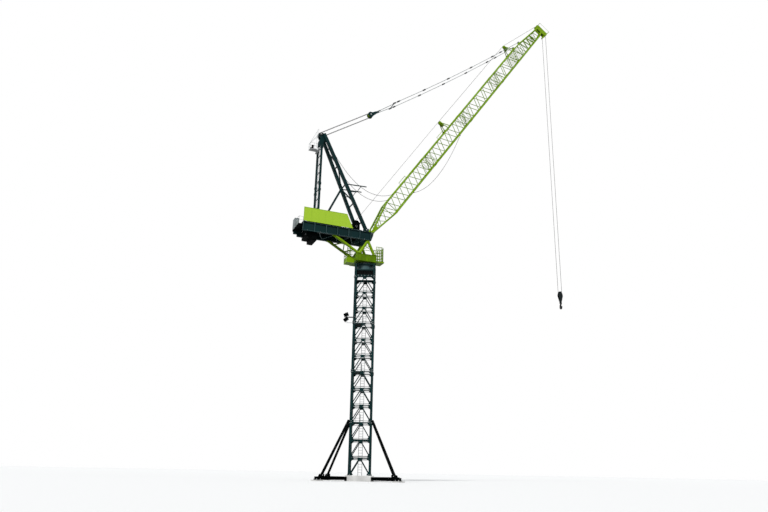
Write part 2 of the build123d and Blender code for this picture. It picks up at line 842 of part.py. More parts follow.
# Winches on the machinery deck
with BuildPart() as winches:
    for x, radius in ((drum_x, drum_r), (luff_drum_x, luff_drum_r)):
        axis_z = floor_top + drum_clear + radius + drum_flange
        with BuildSketch(Plane.YZ.offset(-x)):
            with BuildLine():
                Polyline(
                    (-drum_half - 3, axis_z),
                    (-drum_half - 3, axis_z + radius + drum_flange),
                    (-drum_half, axis_z + radius + drum_flange),
                    (-drum_half, axis_z + radius),
                    (drum_half, axis_z + radius),
                    (drum_half, axis_z + radius + drum_flange),
                    (drum_half + 3, axis_z + radius + drum_flange),
                    (drum_half + 3, axis_z),
                    close=True,
                )
            make_face()
        revolve(axis=Axis((-x, 0, axis_z), (0, 1, 0)))
        plate_half = radius + drum_flange / 2
        plate_top = axis_z + radius + drum_flange + winch_over
        for y in (-drum_half - 3 - winch_post / 2, drum_half + 3 + winch_post / 2):
            with BuildSketch(Plane.XZ.offset(-y - winch_post / 2)):
                with BuildLine():
                    Polyline(
                        (-x - plate_half, floor_top + seat),
                        (-x + plate_half, floor_top + seat),
                        (-x + plate_half, plate_top - winch_over),
                        (-x + plate_half - winch_over, plate_top),
                        (-x - plate_half, plate_top),
                        close=True,
                    )
                make_face()
            extrude(amount=winch_post)

# Jib side frames: chords with a zig-zag web, root and tip included in one plane each
pitch = main_length / bays
tip_pitch = (tip_reach - nose_back) / tip_bays
jib_nodes = {}
for name, side in (("right", -1), ("left", 1)):
    y = side * jib_half
    low_root = jib_point(root_length, -jib_down, y)
    tip_root = jib_point(main_end - chord / 2, jib_up, y)
    with BuildPart() as jib_side:
        pieces = [
            bar(jib_point(root_length, jib_up, y), jib_point(main_end, jib_up, y), chord, sides=8),
            bar(low_root, jib_point(nose_s - nose_back, -jib_down, y), chord, sides=8),
            bar(tip_root, jib_point(nose_s - nose_back, tip_up, y), chord, sides=8),
        ]
        web = []
        for step in range(bays):
            web.append(jib_point(root_length + step * pitch, jib_up, y))
            web.append(jib_point(root_length + (step + 0.5) * pitch, -jib_down, y))
        for step in range(tip_bays):
            web.append(jib_point(main_end + step * tip_pitch, jib_up - tip_fall * step * tip_pitch, y))
            web.append(jib_point(main_end + (step + 0.5) * tip_pitch, -jib_down, y))
        pieces += zigzag(web, jib_brace, (0, 1, 0))
        upright = root_length + chord / 2
        pieces.append(bar(jib_point(upright, -jib_down, y), jib_point(upright, jib_up, y), jib_brace))
        upright = nose_s - nose_back - chord / 2
        pieces.append(bar(jib_point(upright, -jib_down, y), jib_point(upright, tip_up, y), chord))
        add(pieces)
    jib_nodes[f"jib_side_{name}"] = jib_side.part

    # Root frame from the foot lug to the parallel part
    with BuildPart() as jib_root:
        foot = side * foot_half
        start = pin_r
        end = root_length - seat - root_chord * 0.3
        share = start / root_length
        pieces = []
        for t in (jib_up, -jib_down):
            inner = jib_point(start, t * share, foot + (y - foot) * share)
            outer = jib_point(end, t * end / root_length, foot + (y - foot) * end / root_length)
            pieces.append(bar(inner, outer, root_chord, sides=8))
        web = []
        for number, share in enumerate((0.3, 0.42, 0.58, 0.75, 0.93)):
            t = jib_up if number % 2 else -jib_down
            web.append(jib_point(share * root_length, t * share, foot + (y - foot) * share))
        pieces += zigzag(web, jib_brace, (0, 1, 0))
        add(pieces)
        with BuildSketch(jib_plane(0, 0, foot + root_plate_thickness / 2)):
            with BuildLine():
                share = root_plate / root_length
                Polyline(
                    (0, lug_r - seat),
                    (0, -lug_r + seat),
                    (root_plate, -jib_down * share),
                    (root_plate, jib_up * share),
                    close=True,
                )
            make_face()
        extrude(amount=root_plate_thickness)
        with BuildSketch(jib_plane(0, 0, foot + lug_width / 2)):
            Circle(lug_r)
        extrude(amount=lug_width)
        with BuildSketch(jib_plane(0, 0, foot + lug_width)):
            Circle(pin_r + pin_play)
        extrude(amount=2 * lug_width, mode=Mode.SUBTRACT)
    jib_nodes[f"jib_root_{name}"] = jib_root.part

# Jib: top and bottom bracing between the side frames
web_in = jib_half - chord / 2 - seat
for name, t in (("top", jib_up), ("bottom", -jib_down)):
    up = (-sin(luff), 0, cos(luff))
    with BuildPart() as jib_web:
        points = []
        first = chord if t > 0 else pitch / 2
        for step in range(bays + 1 if t > 0 else bays):
            y = jib_half if step % 2 else -jib_half
            points.append(jib_point(root_length + first + step * (main_length - 2 * chord) / bays, t, y))
        add(zigzag(points, jib_brace, up))
        with Locations(jib_point(main_end / 2, 0, 0)):
            Box(2 * main_end, 2 * web_in, 2 * main_end, mode=Mode.INTERSECT)
        for step in range(root_rungs):
            share = 0.36 + 0.56 * step / (root_rungs - 1)
            half = foot_half + (jib_half - foot_half) * share - root_chord / 2 - 2 * seat
            along = share * root_length
            add(bar(jib_point(along, t * share, -half), jib_point(along, t * share, half), jib_brace, up))
    jib_nodes[f"jib_bracing_{name}"] = jib_web.part

# Jib head: rounded cheek plates round the sheaves, with arms to the cross tubes at the chord ends
nose_root = -nose_back - chord / 2
with BuildPart() as jib_head:
    for y in (-nose_half, nose_half - nose_plate):
        with BuildSketch(jib_plane(nose_s, 0, y + nose_plate)):
            with Locations(Location((0, (nose_up - nose_down) / 2), 90)):
                SlotCenterToCenter(nose_up + nose_down, 2 * nose_cap_r)
            for root, end in ((tip_up, nose_up), (-jib_down, (nose_up - nose_down) * 0.6)):
                with BuildLine():
                    Polyline(
                        (nose_root - nose_tie / 2, root - nose_arm / 2),
                        (0, end - nose_arm / 2),
                        (0, end + nose_arm / 2),
                        (nose_root - nose_tie / 2, root + nose_arm / 2),
                        close=True,
                    )
                make_face()
        extrude(amount=nose_plate)
    for t in (tip_up, -jib_down):
        ends = [jib_point(nose_s + nose_root, t, side * web_in) for side in (-1, 1)]
        add(bar(*ends, nose_tie, (1, 0, 0), 8))
    for t in (nose_up, -nose_down):
        with BuildSketch(jib_plane(nose_s, t, nose_half)):
            Circle(nose_axle_r)
        extrude(amount=2 * nose_half)

# Rope guide posts on top of the jib
with BuildPart() as rope_posts:
    for s in (post_near, post_far):
        pieces = []
        for side in (-1, 1):
            foot_t = jib_up + chord / 2 + post_bar / 2
            for step in (-post_stance, post_stance):
                start = jib_point(s + step, foot_t, side * jib_half)
                pieces.append(bar(start, jib_point(s, post_up, side * post_cheek), post_bar))
        axle_half = post_cheek + post_bar
        ends = (jib_point(s, post_up, -axle_half), jib_point(s, post_up, axle_half))
        pieces.append(bar(*ends, 2 * axle_r, sides=12))
        add(pieces)
        for y in (sheave_half + 1 + post_cap_plate, -sheave_half - 1):
            with BuildSketch(jib_plane(s, post_up, y)):
                with Locations(Location((0, -post_cap / 2), 90)):
                    SlotCenterToCenter(post_cap, 2 * post_cap_r)
            extrude(amount=post_cap_plate)

# Pendant line, from its anchor at the end of the parallel part to the luffing axle
anchor_t = jib_up + chord / 2 + pendant_lift
head_run = (-head_x - pivot_x, head_z - pivot_z)
head_s = head_run[0] * cos(luff) + head_run[1] * sin(luff)
head_t = head_run[1] * cos(luff) - head_run[0] * sin(luff)
line_turn = atan2(head_t - anchor_t, head_s - main_end)
line_run = hypot(head_t - anchor_t, head_s - main_end)


def line_point(away):
    """Place along the jib and square to it, at a distance from the pendant anchor."""
    low = 4 * pendant_sag * away * (line_run - away) / line_run**2
    s = main_end + away * cos(line_turn) - low * sin(line_turn)
    return s, anchor_t + away * sin(line_turn) + low * cos(line_turn)


spreader_s, spreader_t = line_point(pendant_length)
block_s, block_t = line_point(pendant_length + block_link)

# Sheaves along the jib: two at the head, one on each post, two in the floating block
with BuildPart() as jib_sheaves:
    wheels = [(nose_s, t, 0, nose_sheave_r, nose_axle_r) for t in (nose_up, -nose_down)]
    wheels += [(s, post_up, 0, post_sheave_r, axle_r) for s in (post_near, post_far)]
    wheels += [(block_s, block_t, y, block_sheave_r, axle_r) for y in (-rope_spread / 2, rope_spread / 2)]
    for s, t, y, radius, pin in wheels:
        add(sheave(radius, pin, Pos(*jib_point(s, t, y)) * Rot(90, 0, 0)))

# Hoist rope, from the winch to the first post and on along the jib
post_rope = post_sheave_r + rope_rise
nose_rope = nose_sheave_r + rope_rise
drum_rope = drum_r + rope_r + rope_gap
hoist_z = floor_top + drum_clear + drum_r + drum_flange
post_x, _, post_z = jib_point(post_near, post_up, 0)
with BuildPart() as hoist_rope_lower:
    leave, meet = tangent((-drum_x, hoist_z), drum_rope, (post_x, post_z), post_rope)
    short = 1 - rope_break / hypot(meet[0] - leave[0], meet[1] - leave[1])
    meet = (leave[0] + short * (meet[0] - leave[0]), leave[1] + short * (meet[1] - leave[1]))
    add(bar((leave[0], 0, leave[1]), (meet[0], 0, meet[1]), 2 * rope_r, sides=6))

with BuildPart() as hoist_rope_upper:
    wheels = (
        ((post_near, post_up), post_rope),
        ((post_far, post_up), post_rope),
        ((nose_s, nose_up), nose_rope),
        ((nose_s, -nose_down), nose_rope),
    )
    for (near, near_r), (far, far_r) in zip(wheels, wheels[1:]):
        leave, meet = tangent(near, near_r, far, far_r)
        add(bar(jib_point(*leave, 0), jib_point(*meet, 0), 2 * rope_r, sides=6))

# Floating block, spreader and pendants
block_run = (spreader_s - block_s, spreader_t - block_t)
block_turn = atan2(block_run[1], block_run[0])
with BuildPart() as floating_block:
    plate_y = rope_spread / 2 + sheave_half + 1
    for y in (-plate_y - block_plate, plate_y):
        with BuildSketch(jib_plane(block_s, block_t, y + block_plate, block_turn)):
            Circle(block_disc_r)
            with BuildLine():
                Polyline(
                    (0, -block_disc_r * 0.6),
                    (0, block_disc_r * 0.6),
                    (block_neck, block_neck_width / 2),
                    (block_neck, -block_neck_width / 2),
                    close=True,
                )
            make_face()
            with Locations((block_tail / 2, 0)):
                Rectangle(block_tail, block_tail_width)
        extrude(amount=block_plate)
    with BuildSketch(jib_plane(block_s, block_t, plate_y + block_plate)):
        Circle(axle_r)
    extrude(amount=2 * (plate_y + block_plate))

with BuildPart() as spreader:
    tail_s = block_s + block_tail * cos(block_turn)
    tail_t = block_t + block_tail * sin(block_turn)
    near = jib_point(spreader_s, spreader_t, -spreader_half)
    pieces = [bar(near, jib_point(spreader_s, spreader_t, spreader_half), spreader_bar, (1, 0, 0), 8)]
    for side in (-1, 1):
        start = jib_point(tail_s, tail_t, side * (plate_y + block_plate + seat + link_bar / 2))
        pieces.append(bar(start, jib_point(spreader_s, spreader_t, side * spreader_half * 0.8), link_bar))
    add(pieces)

pendant_half = spreader_half + pendant_width / 2 + pin_play
with BuildPart() as pendants:
    for side in (-1, 1):
        places = [0, pendant_first]
        for step in range(pendant_couplers):
            places.append(pendant_first + pendant_short + step * pendant_pitch)
        places.append(pendant_length)
        points = []
        for place in places:
            y = side * (jib_half + (pendant_half - jib_half) * place / pendant_length)
            points.append(Vector(*jib_point(*line_point(place), y)))
        add(zigzag([tuple(point) for point in points], pendant_width, (0, 1, 0)))
        for here, after in zip(points, points[1:]):
            half = (after - here).normalized() * (coupler_length / 2)
            add(bar(tuple(here - half), tuple(here + half), coupler))

# Luffing ropes between the head and the floating block
block_x, _, block_z = jib_point(block_s, block_t, 0)
with BuildPart() as luffing_ropes:
    for y in (-rope_spread / 2, rope_spread / 2):
        for above in (-1, 1):
            near = above * (head_sheave_r + luff_rise)
            far = above * (block_sheave_r + luff_rise)
            leave, meet = tangent((-head_x, head_z), near, (block_x, block_z), far)
            add(bar((leave[0], y, leave[1]), (meet[0], y, meet[1]), 2 * luff_rope_r, sides=6))

# Dead-end fork that hangs on the head axle, and the two hoist falls
nose_x, _, nose_z = jib_point(nose_s, -nose_down, 0)
hook_x = nose_x - hook_lean
fork_in = sheave_half + fork_gap
dead_x = nose_x - fall_inset
dead_z = nose_z - fall_drop
fork_turn = degrees(atan2(dead_z - nose_z, dead_x - nose_x))
with BuildPart() as dead_end_fork:
    span = hypot(fall_inset, fall_drop)
    for y in (-fork_in - fork_plate, fork_in):
        with BuildSketch(Plane(origin=(nose_x, y + fork_plate, nose_z), x_dir=(1, 0, 0), z_dir=(0, -1, 0))):
            with Locations(Location((0, 0), fork_turn)):
                with Locations((span / 2, 0)):
                    SlotCenterToCenter(span, fork_width)
            Circle(nose_axle_r + pin_play, mode=Mode.SUBTRACT)
        extrude(amount=fork_plate)
    with BuildSketch(Plane(origin=(dead_x, fork_in, dead_z), x_dir=(1, 0, 0), z_dir=(0, -1, 0))):
        Circle(fork_width / 3)
    extrude(amount=2 * fork_in)

hook_rope = hook_sheave_r + rope_rise
dead_low = dead_z - fork_width / 3 - seat
with BuildPart() as hoist_falls:
    live = ((nose_x, nose_z), nose_rope, hook_rope)
    dead = ((dead_x, dead_low), 0, -hook_rope)
    for top, top_r, low_r in (live, dead):
        leave, meet = tangent(top, top_r, (hook_x, hook_block_z), low_r)
        add(bar((leave[0], 0, leave[1]), (meet[0], 0, meet[1]), 2 * rope_r, sides=6))

# Hook block with its sheave, swivel and hook
with BuildPart() as hook_block:
    for y in (-sheave_half - 1 - hook_plate, sheave_half + 1):
        with BuildSketch(Plane.XZ.offset(-y - hook_plate)):
            with BuildLine():
                outline = [(7, hook_top), (14, hook_top / 3), (hook_widest, -10)]
                outline += [(13, -hook_low / 2), (6, -hook_low)]
                right = [(hook_x + x, hook_block_z + z) for x, z in outline]
                left = [(hook_x - x, hook_block_z + z) for x, z in reversed(outline)]
                Polyline(*right, *left, close=True)
            make_face()
        extrude(amount=hook_plate)
    with Locations((hook_x, 0, hook_block_z - hook_low + 5)):
        Box(12, 2 * sheave_half + 2, 10)
    with BuildSketch(Plane.XZ.offset(-sheave_half - 1 - hook_plate)):
        with Locations((hook_x, hook_block_z)):
            Circle(axle_r)
    extrude(amount=2 * (sheave_half + 1 + hook_plate))

with BuildPart() as hook_sheave:
    add(sheave(hook_sheave_r, axle_r, Pos(hook_x, 0, hook_block_z) * Rot(90, 0, 0)))

hook_top_z = hook_block_z - hook_low - seat
hook_mid_z = hook_top_z - hook_collar - hook_neck - hook_r
with BuildPart() as hook:
    with BuildSketch(Plane.XY.offset(hook_top_z)):
        with Locations((hook_x, 0)):
            Circle(hook_collar_r)
    extrude(amount=-hook_collar)
    chamfer(hook.edges().group_by(Axis.Z)[0], 2)
    with BuildSketch(Plane.XY.offset(hook_mid_z + hook_r)):
        with Locations((hook_x, 0)):
            Circle(hook_neck_r)
    extrude(amount=hook_neck + 1)
    with BuildSketch(Plane.XZ) as profile:
        with Locations((hook_x, hook_mid_z)):
            Circle(hook_r + hook_bar)
            Circle(hook_r - hook_bar, mode=Mode.SUBTRACT)
            with Locations((-hook_r, hook_r * 0.55)):
                Rectangle(2 * hook_r, hook_r * 1.1, mode=Mode.SUBTRACT)
    extrude(amount=hook_bar, both=True)

# Loose electric cables, drawn as straight runs with round bends


def hang(start, end, sag):
    """Points of a cable that hangs between two ends, closer together near the ends."""
    start = Vector(*start)
    run = Vector(*end) - start
    points = []
    for step in range(cable_runs + 1):
        share = step / cable_runs / 2 + (1 - cos(pi * step / cable_runs)) / 4
        points.append(start + run * share - Vector(0, 0, 4 * sag * share * (1 - share)))
    return points


def cable(points):
    """A round cable with each bend as wide as its two runs allow."""
    radii = []
    for before, here, after in zip(points, points[1:], points[2:]):
        turn = radians((here - before).get_angle(after - here))
        shorter = min((here - before).length, (after - here).length)
        radii.append(0.45 * shorter / tan(turn / 2))
    with BuildPart(mode=Mode.PRIVATE) as run:
        with BuildLine():
            path = FilletPolyline(*points, radius=radii)
        with BuildSketch(Plane(origin=path @ 0, z_dir=path % 0)):
            Circle(cable_r)
        sweep()
    return run.part


clip_off = frame_leg / 2 * hypot(1, lean) + cable_r + pin_play
clip_up = jib_up + chord / 2 + cable_r + pin_play
clip_down = -jib_down - chord / 2 - cable_r - pin_play


def frame_clip(z):
    """A cable clip on the front of the right A-frame leg."""
    x, y, z = frame_point(z, -1)
    return (x + clip_off, y + cable_clip_in, z)


with BuildPart() as cable_high:
    ends = (frame_clip(cable_high_z), jib_point(cable_high_s, clip_up, -jib_half))
    add(cable(hang(*ends, cable_high_sag)))
with BuildPart() as cable_low:
    ends = (frame_clip(cable_low_z), jib_point(cable_low_s, clip_up, -jib_half))
    add(cable(hang(*ends, cable_low_sag)))
with BuildPart() as cable_under:
    start = jib_point(cable_under_start, clip_down, -jib_half)
    add(cable(hang(start, jib_point(cable_under_end, clip_down, -jib_half), cable_under_sag)))

# Everything on the tower stands turned under the jib
tower = {
    "plinth": plinth.part,
    "ground_beams": ground_beams.part,
    "foot_pads": foot_pads.part,
    "base_struts": base_struts.part,
    "mast_left": Pos(-mast_pitch / 2, 0, 0) * Rot(0, 0, 90) * mast_side.part,
    "mast_right": Pos(mast_pitch / 2, 0, 0) * Rot(0, 0, 90) * mast_side.part,
    "mast_front_bracing": Pos(0, -mast_pitch / 2, 0) * face_bracing.part,
    "mast_rear_bracing": Pos(0, mast_pitch / 2, 0) * face_bracing.part,
    "mast_landings": landings.part,
    "mast_ladder": mast_ladder.part,
    "floodlights": floodlights.part,
    "pedestal": pedestal.part,
    "slew_ring": slew_ring.part,
}
upper = {
    "slew_deck": slew_deck.part,
    "slew_platforms": slew_platforms.part,
    "rear_props": rear_props.part,
    "machinery_deck": machinery_deck.part,
    "service_platforms": service_platforms.part,
    "counterweights": counterweights.part,
    "a_frame_front": a_frame_front.part,
    "a_frame_head": a_frame_head.part,
    "head_sheaves": head_sheaves.part,
    "a_frame_ties": a_frame_ties.part,
    "knee_strut": knee_strut.part,
    "rear_cabinet": rear_cabinet.part,
    "side_panels": side_panels.part,
    "back_stops": back_stops.part,
    "winches": winches.part,
    "hoist_rope_lower": hoist_rope_lower.part,
    "luffing_ropes": luffing_ropes.part,
    "cable_high": cable_high.part,
    "cable_low": cable_low.part,
}
upper.update(pylons)
upper.update(girders)
moving = {
    "jib_head": jib_head.part,
    "jib_sheaves": jib_sheaves.part,
    "rope_posts": rope_posts.part,
    "hoist_rope_upper": hoist_rope_upper.part,
    "floating_block": floating_block.part,
    "spreader": spreader.part,
    "pendants": pendants.part,
    "cable_under": cable_under.part,
    "dead_end_fork": dead_end_fork.part,
    "hoist_falls": hoist_falls.part,
    "hook_block": hook_block.part,
    "hook_sheave": hook_sheave.part,
    "hook": hook.part.rotate(Axis((hook_x, 0, 0), (0, 0, 1)), hook_turn),
}
moving.update(jib_nodes)

os.makedirs("parts", exist_ok=True)
for name, solid in tower.items():
    turned = solid.rotate(Axis.Z, -slew_rest)
    turned.label = name
    export_step(turned, f"parts/{name}.step")
for name, solid in list(upper.items()) + list(moving.items()):
    solid.label = name
    export_step(solid, f"parts/{name}.step")
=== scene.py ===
import json
from math import asin, atan2, cos, hypot, pi, radians, sin

import bmesh
import bpy
from mathutils import Matrix, Vector


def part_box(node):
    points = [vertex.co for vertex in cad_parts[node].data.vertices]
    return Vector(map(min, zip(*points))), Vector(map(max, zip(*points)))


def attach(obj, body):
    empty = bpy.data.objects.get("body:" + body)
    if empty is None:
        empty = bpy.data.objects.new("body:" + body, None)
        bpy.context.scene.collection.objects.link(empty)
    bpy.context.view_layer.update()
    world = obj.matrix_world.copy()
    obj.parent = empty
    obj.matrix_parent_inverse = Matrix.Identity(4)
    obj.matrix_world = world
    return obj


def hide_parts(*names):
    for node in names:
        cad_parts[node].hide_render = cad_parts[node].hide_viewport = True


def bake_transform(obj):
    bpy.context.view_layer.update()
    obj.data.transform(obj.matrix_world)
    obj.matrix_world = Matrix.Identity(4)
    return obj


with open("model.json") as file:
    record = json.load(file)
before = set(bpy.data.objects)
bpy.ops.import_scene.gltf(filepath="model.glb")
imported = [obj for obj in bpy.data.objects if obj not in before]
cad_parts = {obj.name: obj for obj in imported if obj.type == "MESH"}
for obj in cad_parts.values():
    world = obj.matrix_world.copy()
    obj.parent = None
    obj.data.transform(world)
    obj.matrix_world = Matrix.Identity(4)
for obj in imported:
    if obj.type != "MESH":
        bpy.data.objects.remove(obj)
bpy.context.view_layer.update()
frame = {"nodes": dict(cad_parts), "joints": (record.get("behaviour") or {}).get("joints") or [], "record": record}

# Sizes repeated from the part's source, in millimetres and degrees
MM = 0.001
SLEW, LUFF = radians(23.1), radians(54.84)
MAST_HALF, LEG, BRACE, COLLAR = 57.0, 12.0, 5.0, 16.0
MAST_FOOT, PANEL, PANELS, SECTION, SECTIONS = 30.2, 95.0, 12, 285.0, 4
BEAM_TOP, STRUT_R, PAD_R, ANCHOR_R = 23.2, 275.8, 302.5, 17.0
LAMP_X, LAMP_Z, LAMP_SPREAD, LAMP_TILTS = -103.2, 915.0, 14.0, (radians(25), radians(40))
RING_R, RING_Z, PEDESTAL_TOP = 50.0, 1250.6, 1250.4
PEDESTAL_SILL, BARREL_LOW, BARREL_R = 1174.4, 1207.4, 55.0
FRONT_WALK_DROP, GIRDER_INNER = 36.0, 54.0
RIB_X, RIB_STEP = -429.0, 72.0
GIRDER_Y, GIRDER_LOW, GIRDER_TOP, FLOOR_TOP = 62.5, 1400.0, 1455.0, 1457.7
FRAME_FOOT, FRAME_HEAD_X, FRAME_HEAD_Z = 23.0, 303.0, 2058.0
FRAME_FOOT_Y, FRAME_HEAD_Y, FRAME_LEG = 62.0, 27.0, 18.0
TIE_X, TIE_Y, TIE_TOP = 334.0, 42.0, 2000.0
HEAD_X, HEAD_Z, HEAD_R = 336.0, 2086.0, 14.0
BASKET_FRONT, BASKET_REAR, BASKET_HALF, BASKET_TOP = 352.0, 402.0, 18.0, 1973.0
DRUM_X, LUFF_DRUM_X, DRUM_R, LUFF_DRUM_R, DRUM_HALF = 84.0, 262.0, 21.0, 18.0, 30.0
DRUM_CLEAR, DRUM_FLANGE = 6.0, 5.0
JIB_HALF, JIB_UP, JIB_DOWN, CHORD = 37.5, 50.0, 40.0, 8.0
ROOT, MAIN_END, NOSE, FOOT_HALF = 255.0, 2162.0, 2482.0, 46.5
NOSE_UP, NOSE_DOWN, NOSE_R, NOSE_HALF = 14.0, 62.0, 17.0, 14.0
POST_NEAR, POST_FAR, POST_UP, POST_R = 1066.0, 2057.0, 117.0, 14.0
ANCHOR_T, PENDANT, PENDANT_SAG, PENDANT_HALF = 60.2, 1328.0, 28.0, 37.5
BLOCK_LINK, BLOCK_R = 196.0, 14.5
ROPE_R, LUFF_ROPE_R, ROPE_SPREAD, ROPE_GAP, GROOVE, GROOVE_HALF = 0.9, 1.3, 11.0, 0.3, 2.0, 3.0
HOOK_Z, HOOK_LEAN, HOOK_R, HOOK_TURN = 1252.0, 26.0, 16.0, radians(69)
FALL_INSET, FALL_DROP, FORK_LOW = 18.0, 41.0, 3.2
CABLE_R, CABLE_RUNS = 1.2, 14

# Edges and feet of the panels, walks and platforms
PYLON_REAR, PYLON_FRONT, PYLON_TOP, PROP_TOP = -66, 32, -11, -228
PANEL_REARS, PANEL_FRONT, PANEL_SLOPE = ((-1, -430.0), (1, -370.0)), -117, -158
WALK_FRONT, WALK_REAR, WALK_HALF = -431, -457, 70
TRAY = ((-129, -21), (-129, 37))
CAGE = ((84, -51), (95, -47), (101, -37), (101, 1), (95, 11), (84, 15))
LANDING_RAIL = ((-53, -38), (-5, -38), (-5, 12))

# Loose cables: height on the A-frame, place along the jib, and sag
HUNG_CABLES = (("cable_high", 1984, 330, 110), ("cable_low", 1806, 275, 62))
UNDER_CABLE, UNDER_SAG = (455, 1078), 95

# Fittings that only the scene has
BEAM_RIBS, RING_TEETH, SILL_BOLTS = (130, 165, 200, 235), 72, (-56.5, -40, -20, 0, 20, 40, 56.5)
LAMP_BAR, LAMP_CASE = (-98, 68), (28, 19, 19)
TRAY_LADDER, TRAY_LADDER_RISE = Vector((-118, -18, 0)), 94
LATERALS, LATERAL_FRONT, LATERAL_RUN = 6, -24, 300
WEIGHT_ROD_Y, SEAM_STEP, RIVET_STEP = 38, 45, 15
ROOT_RUNGS = ((18, 0.3, 0.66, JIB_UP, 4), (12, 0.34, 0.62, -JIB_DOWN, 0))
HATCH_STEP, HATCH_RAIL_STEP, ROOT_COVER = 11, 15, 24

# Places read from the photograph
FRAME_GUSSETS, TIE_COLLARS = (1520, 1640, 1760, 1880), (1690, 1730)
SECTION_JOINTS, JOINT_GAP = (745, 1250, 1745), 11.0
CHORD_BOXES = ((545, 697), (1102, 1232), (1545, 1665))
RAIL_LOOPS = ((430, 503), (921, 1007))
NOSE_RAIL = ((NOSE + 12, 22), (2533, 23), (2533, -80), (NOSE + 10, -73))
HATCHES = ((1985, 2117, -36, 46, 35), (2312, 2360, -36, 24, 18))
COUPLERS = (218, 316, 560, 804, 1048, 1292)

joints = {joint["name"]: joint for joint in frame["joints"]}
PIVOT_X, _, PIVOT_Z = [value / MM for value in joints["luff"]["pos_m"]]
X, Y, Z = Vector((1, 0, 0)), Vector((0, 1, 0)), Vector((0, 0, 1))
ALONG = Vector((cos(LUFF), 0, sin(LUFF)))
ABOVE = Vector((-sin(LUFF), 0, cos(LUFF)))


def mast(x, y, z):
    """A point of the tower, which stands turned under the jib."""
    return Vector((x * cos(SLEW) + y * sin(SLEW), y * cos(SLEW) - x * sin(SLEW), z))


def jib(along, above, side):
    """A point given along the jib, square to it and sideways."""
    return Vector((PIVOT_X, side, PIVOT_Z)) + ALONG * along + ABOVE * above


def root_half(share):
    """Half the width of the jib's root at a share of its length."""
    return FOOT_HALF + (JIB_HALF - FOOT_HALF) * share


def leg_point(z, side):
    """A point on the centre line of an A-frame front leg."""
    share = (z - GIRDER_TOP) / (FRAME_HEAD_Z - GIRDER_TOP)
    x = -FRAME_FOOT - share * (FRAME_HEAD_X - FRAME_FOOT)
    return Vector((x, side * (FRAME_FOOT_Y + share * (FRAME_HEAD_Y - FRAME_FOOT_Y)), z))


def node_box(name):
    """A node's lowest and highest corners in millimetres."""
    low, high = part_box(name)
    return low / MM, high / MM


MAST_X, MAST_Y = mast(1, 0, 0), mast(0, 1, 0)
MAST_FACES = ((MAST_X, -MAST_Y), (MAST_X, MAST_Y), (MAST_Y, -MAST_X), (MAST_Y, MAST_X))

# Materials


def mix(a, b, share):
    """A colour between two others."""
    return tuple(x + (y - x) * share for x, y in zip(a, b))


def noise(tree, place, scale, detail):
    """A noise pattern at the places that a socket gives."""
    made = tree.nodes.new("ShaderNodeTexNoise")
    made.inputs["Scale"].default_value = scale
    made.inputs["Detail"].default_value = detail
    tree.links.new(place, made.inputs["Vector"])
    return made.outputs["Fac"]


def ramp(tree, value, stops):
    """Two colours, each at its own place along a value."""
    made = tree.nodes.new("ShaderNodeValToRGB")
    for element, (position, colour) in zip(made.color_ramp.elements, stops):
        element.position = position
        element.color = (*colour, 1)
    tree.links.new(value, made.inputs["Fac"])
    return made.outputs["Color"]


def rain(tree, place, tint, colour, streak):
    """Dirt that runs down over a tint."""
    run = tree.nodes.new("ShaderNodeMapping")
    run.inputs["Scale"].default_value = (60, 60, 4)
    tree.links.new(place, run.inputs["Vector"])
    stops = ((0.52, (0, 0, 0)), (0.74, (streak, streak, streak)))
    soil = tree.nodes.new("ShaderNodeMix")
    soil.data_type = "RGBA"
    soil.inputs["B"].default_value = (*mix(colour, (0.022, 0.020, 0.016), 0.6), 1)
    tree.links.new(ramp(tree, noise(tree, run.outputs["Vector"], 1.0, 4.0), stops), soil.inputs["Factor"])
    tree.links.new(tint, soil.inputs["A"])
    return soil.outputs["Result"]


def material(
    name, colour, rough, metal=0.0, spec=0.3, spread=0.25, grain=9.0, bump=0.08, fine=140.0, streak=0.0
):
    """Paint or metal with broad patches, fine grain, rain streaks and a slight relief."""
    made = bpy.data.materials.new(name)
    made.use_nodes = True
    tree = made.node_tree
    shader = tree.nodes["Principled BSDF"]
    shader.inputs["Metallic"].default_value = metal
    shader.inputs["Specular IOR Level"].default_value = spec
    place = tree.nodes.new("ShaderNodeTexCoord").outputs["Object"]
    dark, light = mix(colour, (0, 0, 0), spread), [min(1, c * (1 + spread * 0.6)) for c in colour]
    tint = ramp(tree, noise(tree, place, grain, 6.0), ((0.32, dark), (0.68, light)))
    if streak:
        tint = rain(tree, place, tint, colour, streak)
    tree.links.new(tint, shader.inputs["Base Color"])
    small = noise(tree, place, fine, 5.0)
    level = tree.nodes.new("ShaderNodeMapRange")
    level.inputs["To Min"].default_value = max(0.05, rough - 0.12)
    level.inputs["To Max"].default_value = min(1.0, rough + 0.14)
    tree.links.new(small, level.inputs["Value"])
    tree.links.new(level.outputs["Result"], shader.inputs["Roughness"])
    relief = tree.nodes.new("ShaderNodeBump")
    relief.inputs["Strength"].default_value = bump
    relief.inputs["Distance"].default_value = 0.001
    tree.links.new(small, relief.inputs["Height"])
    tree.links.new(relief.outputs["Normal"], shader.inputs["Normal"])
    return made


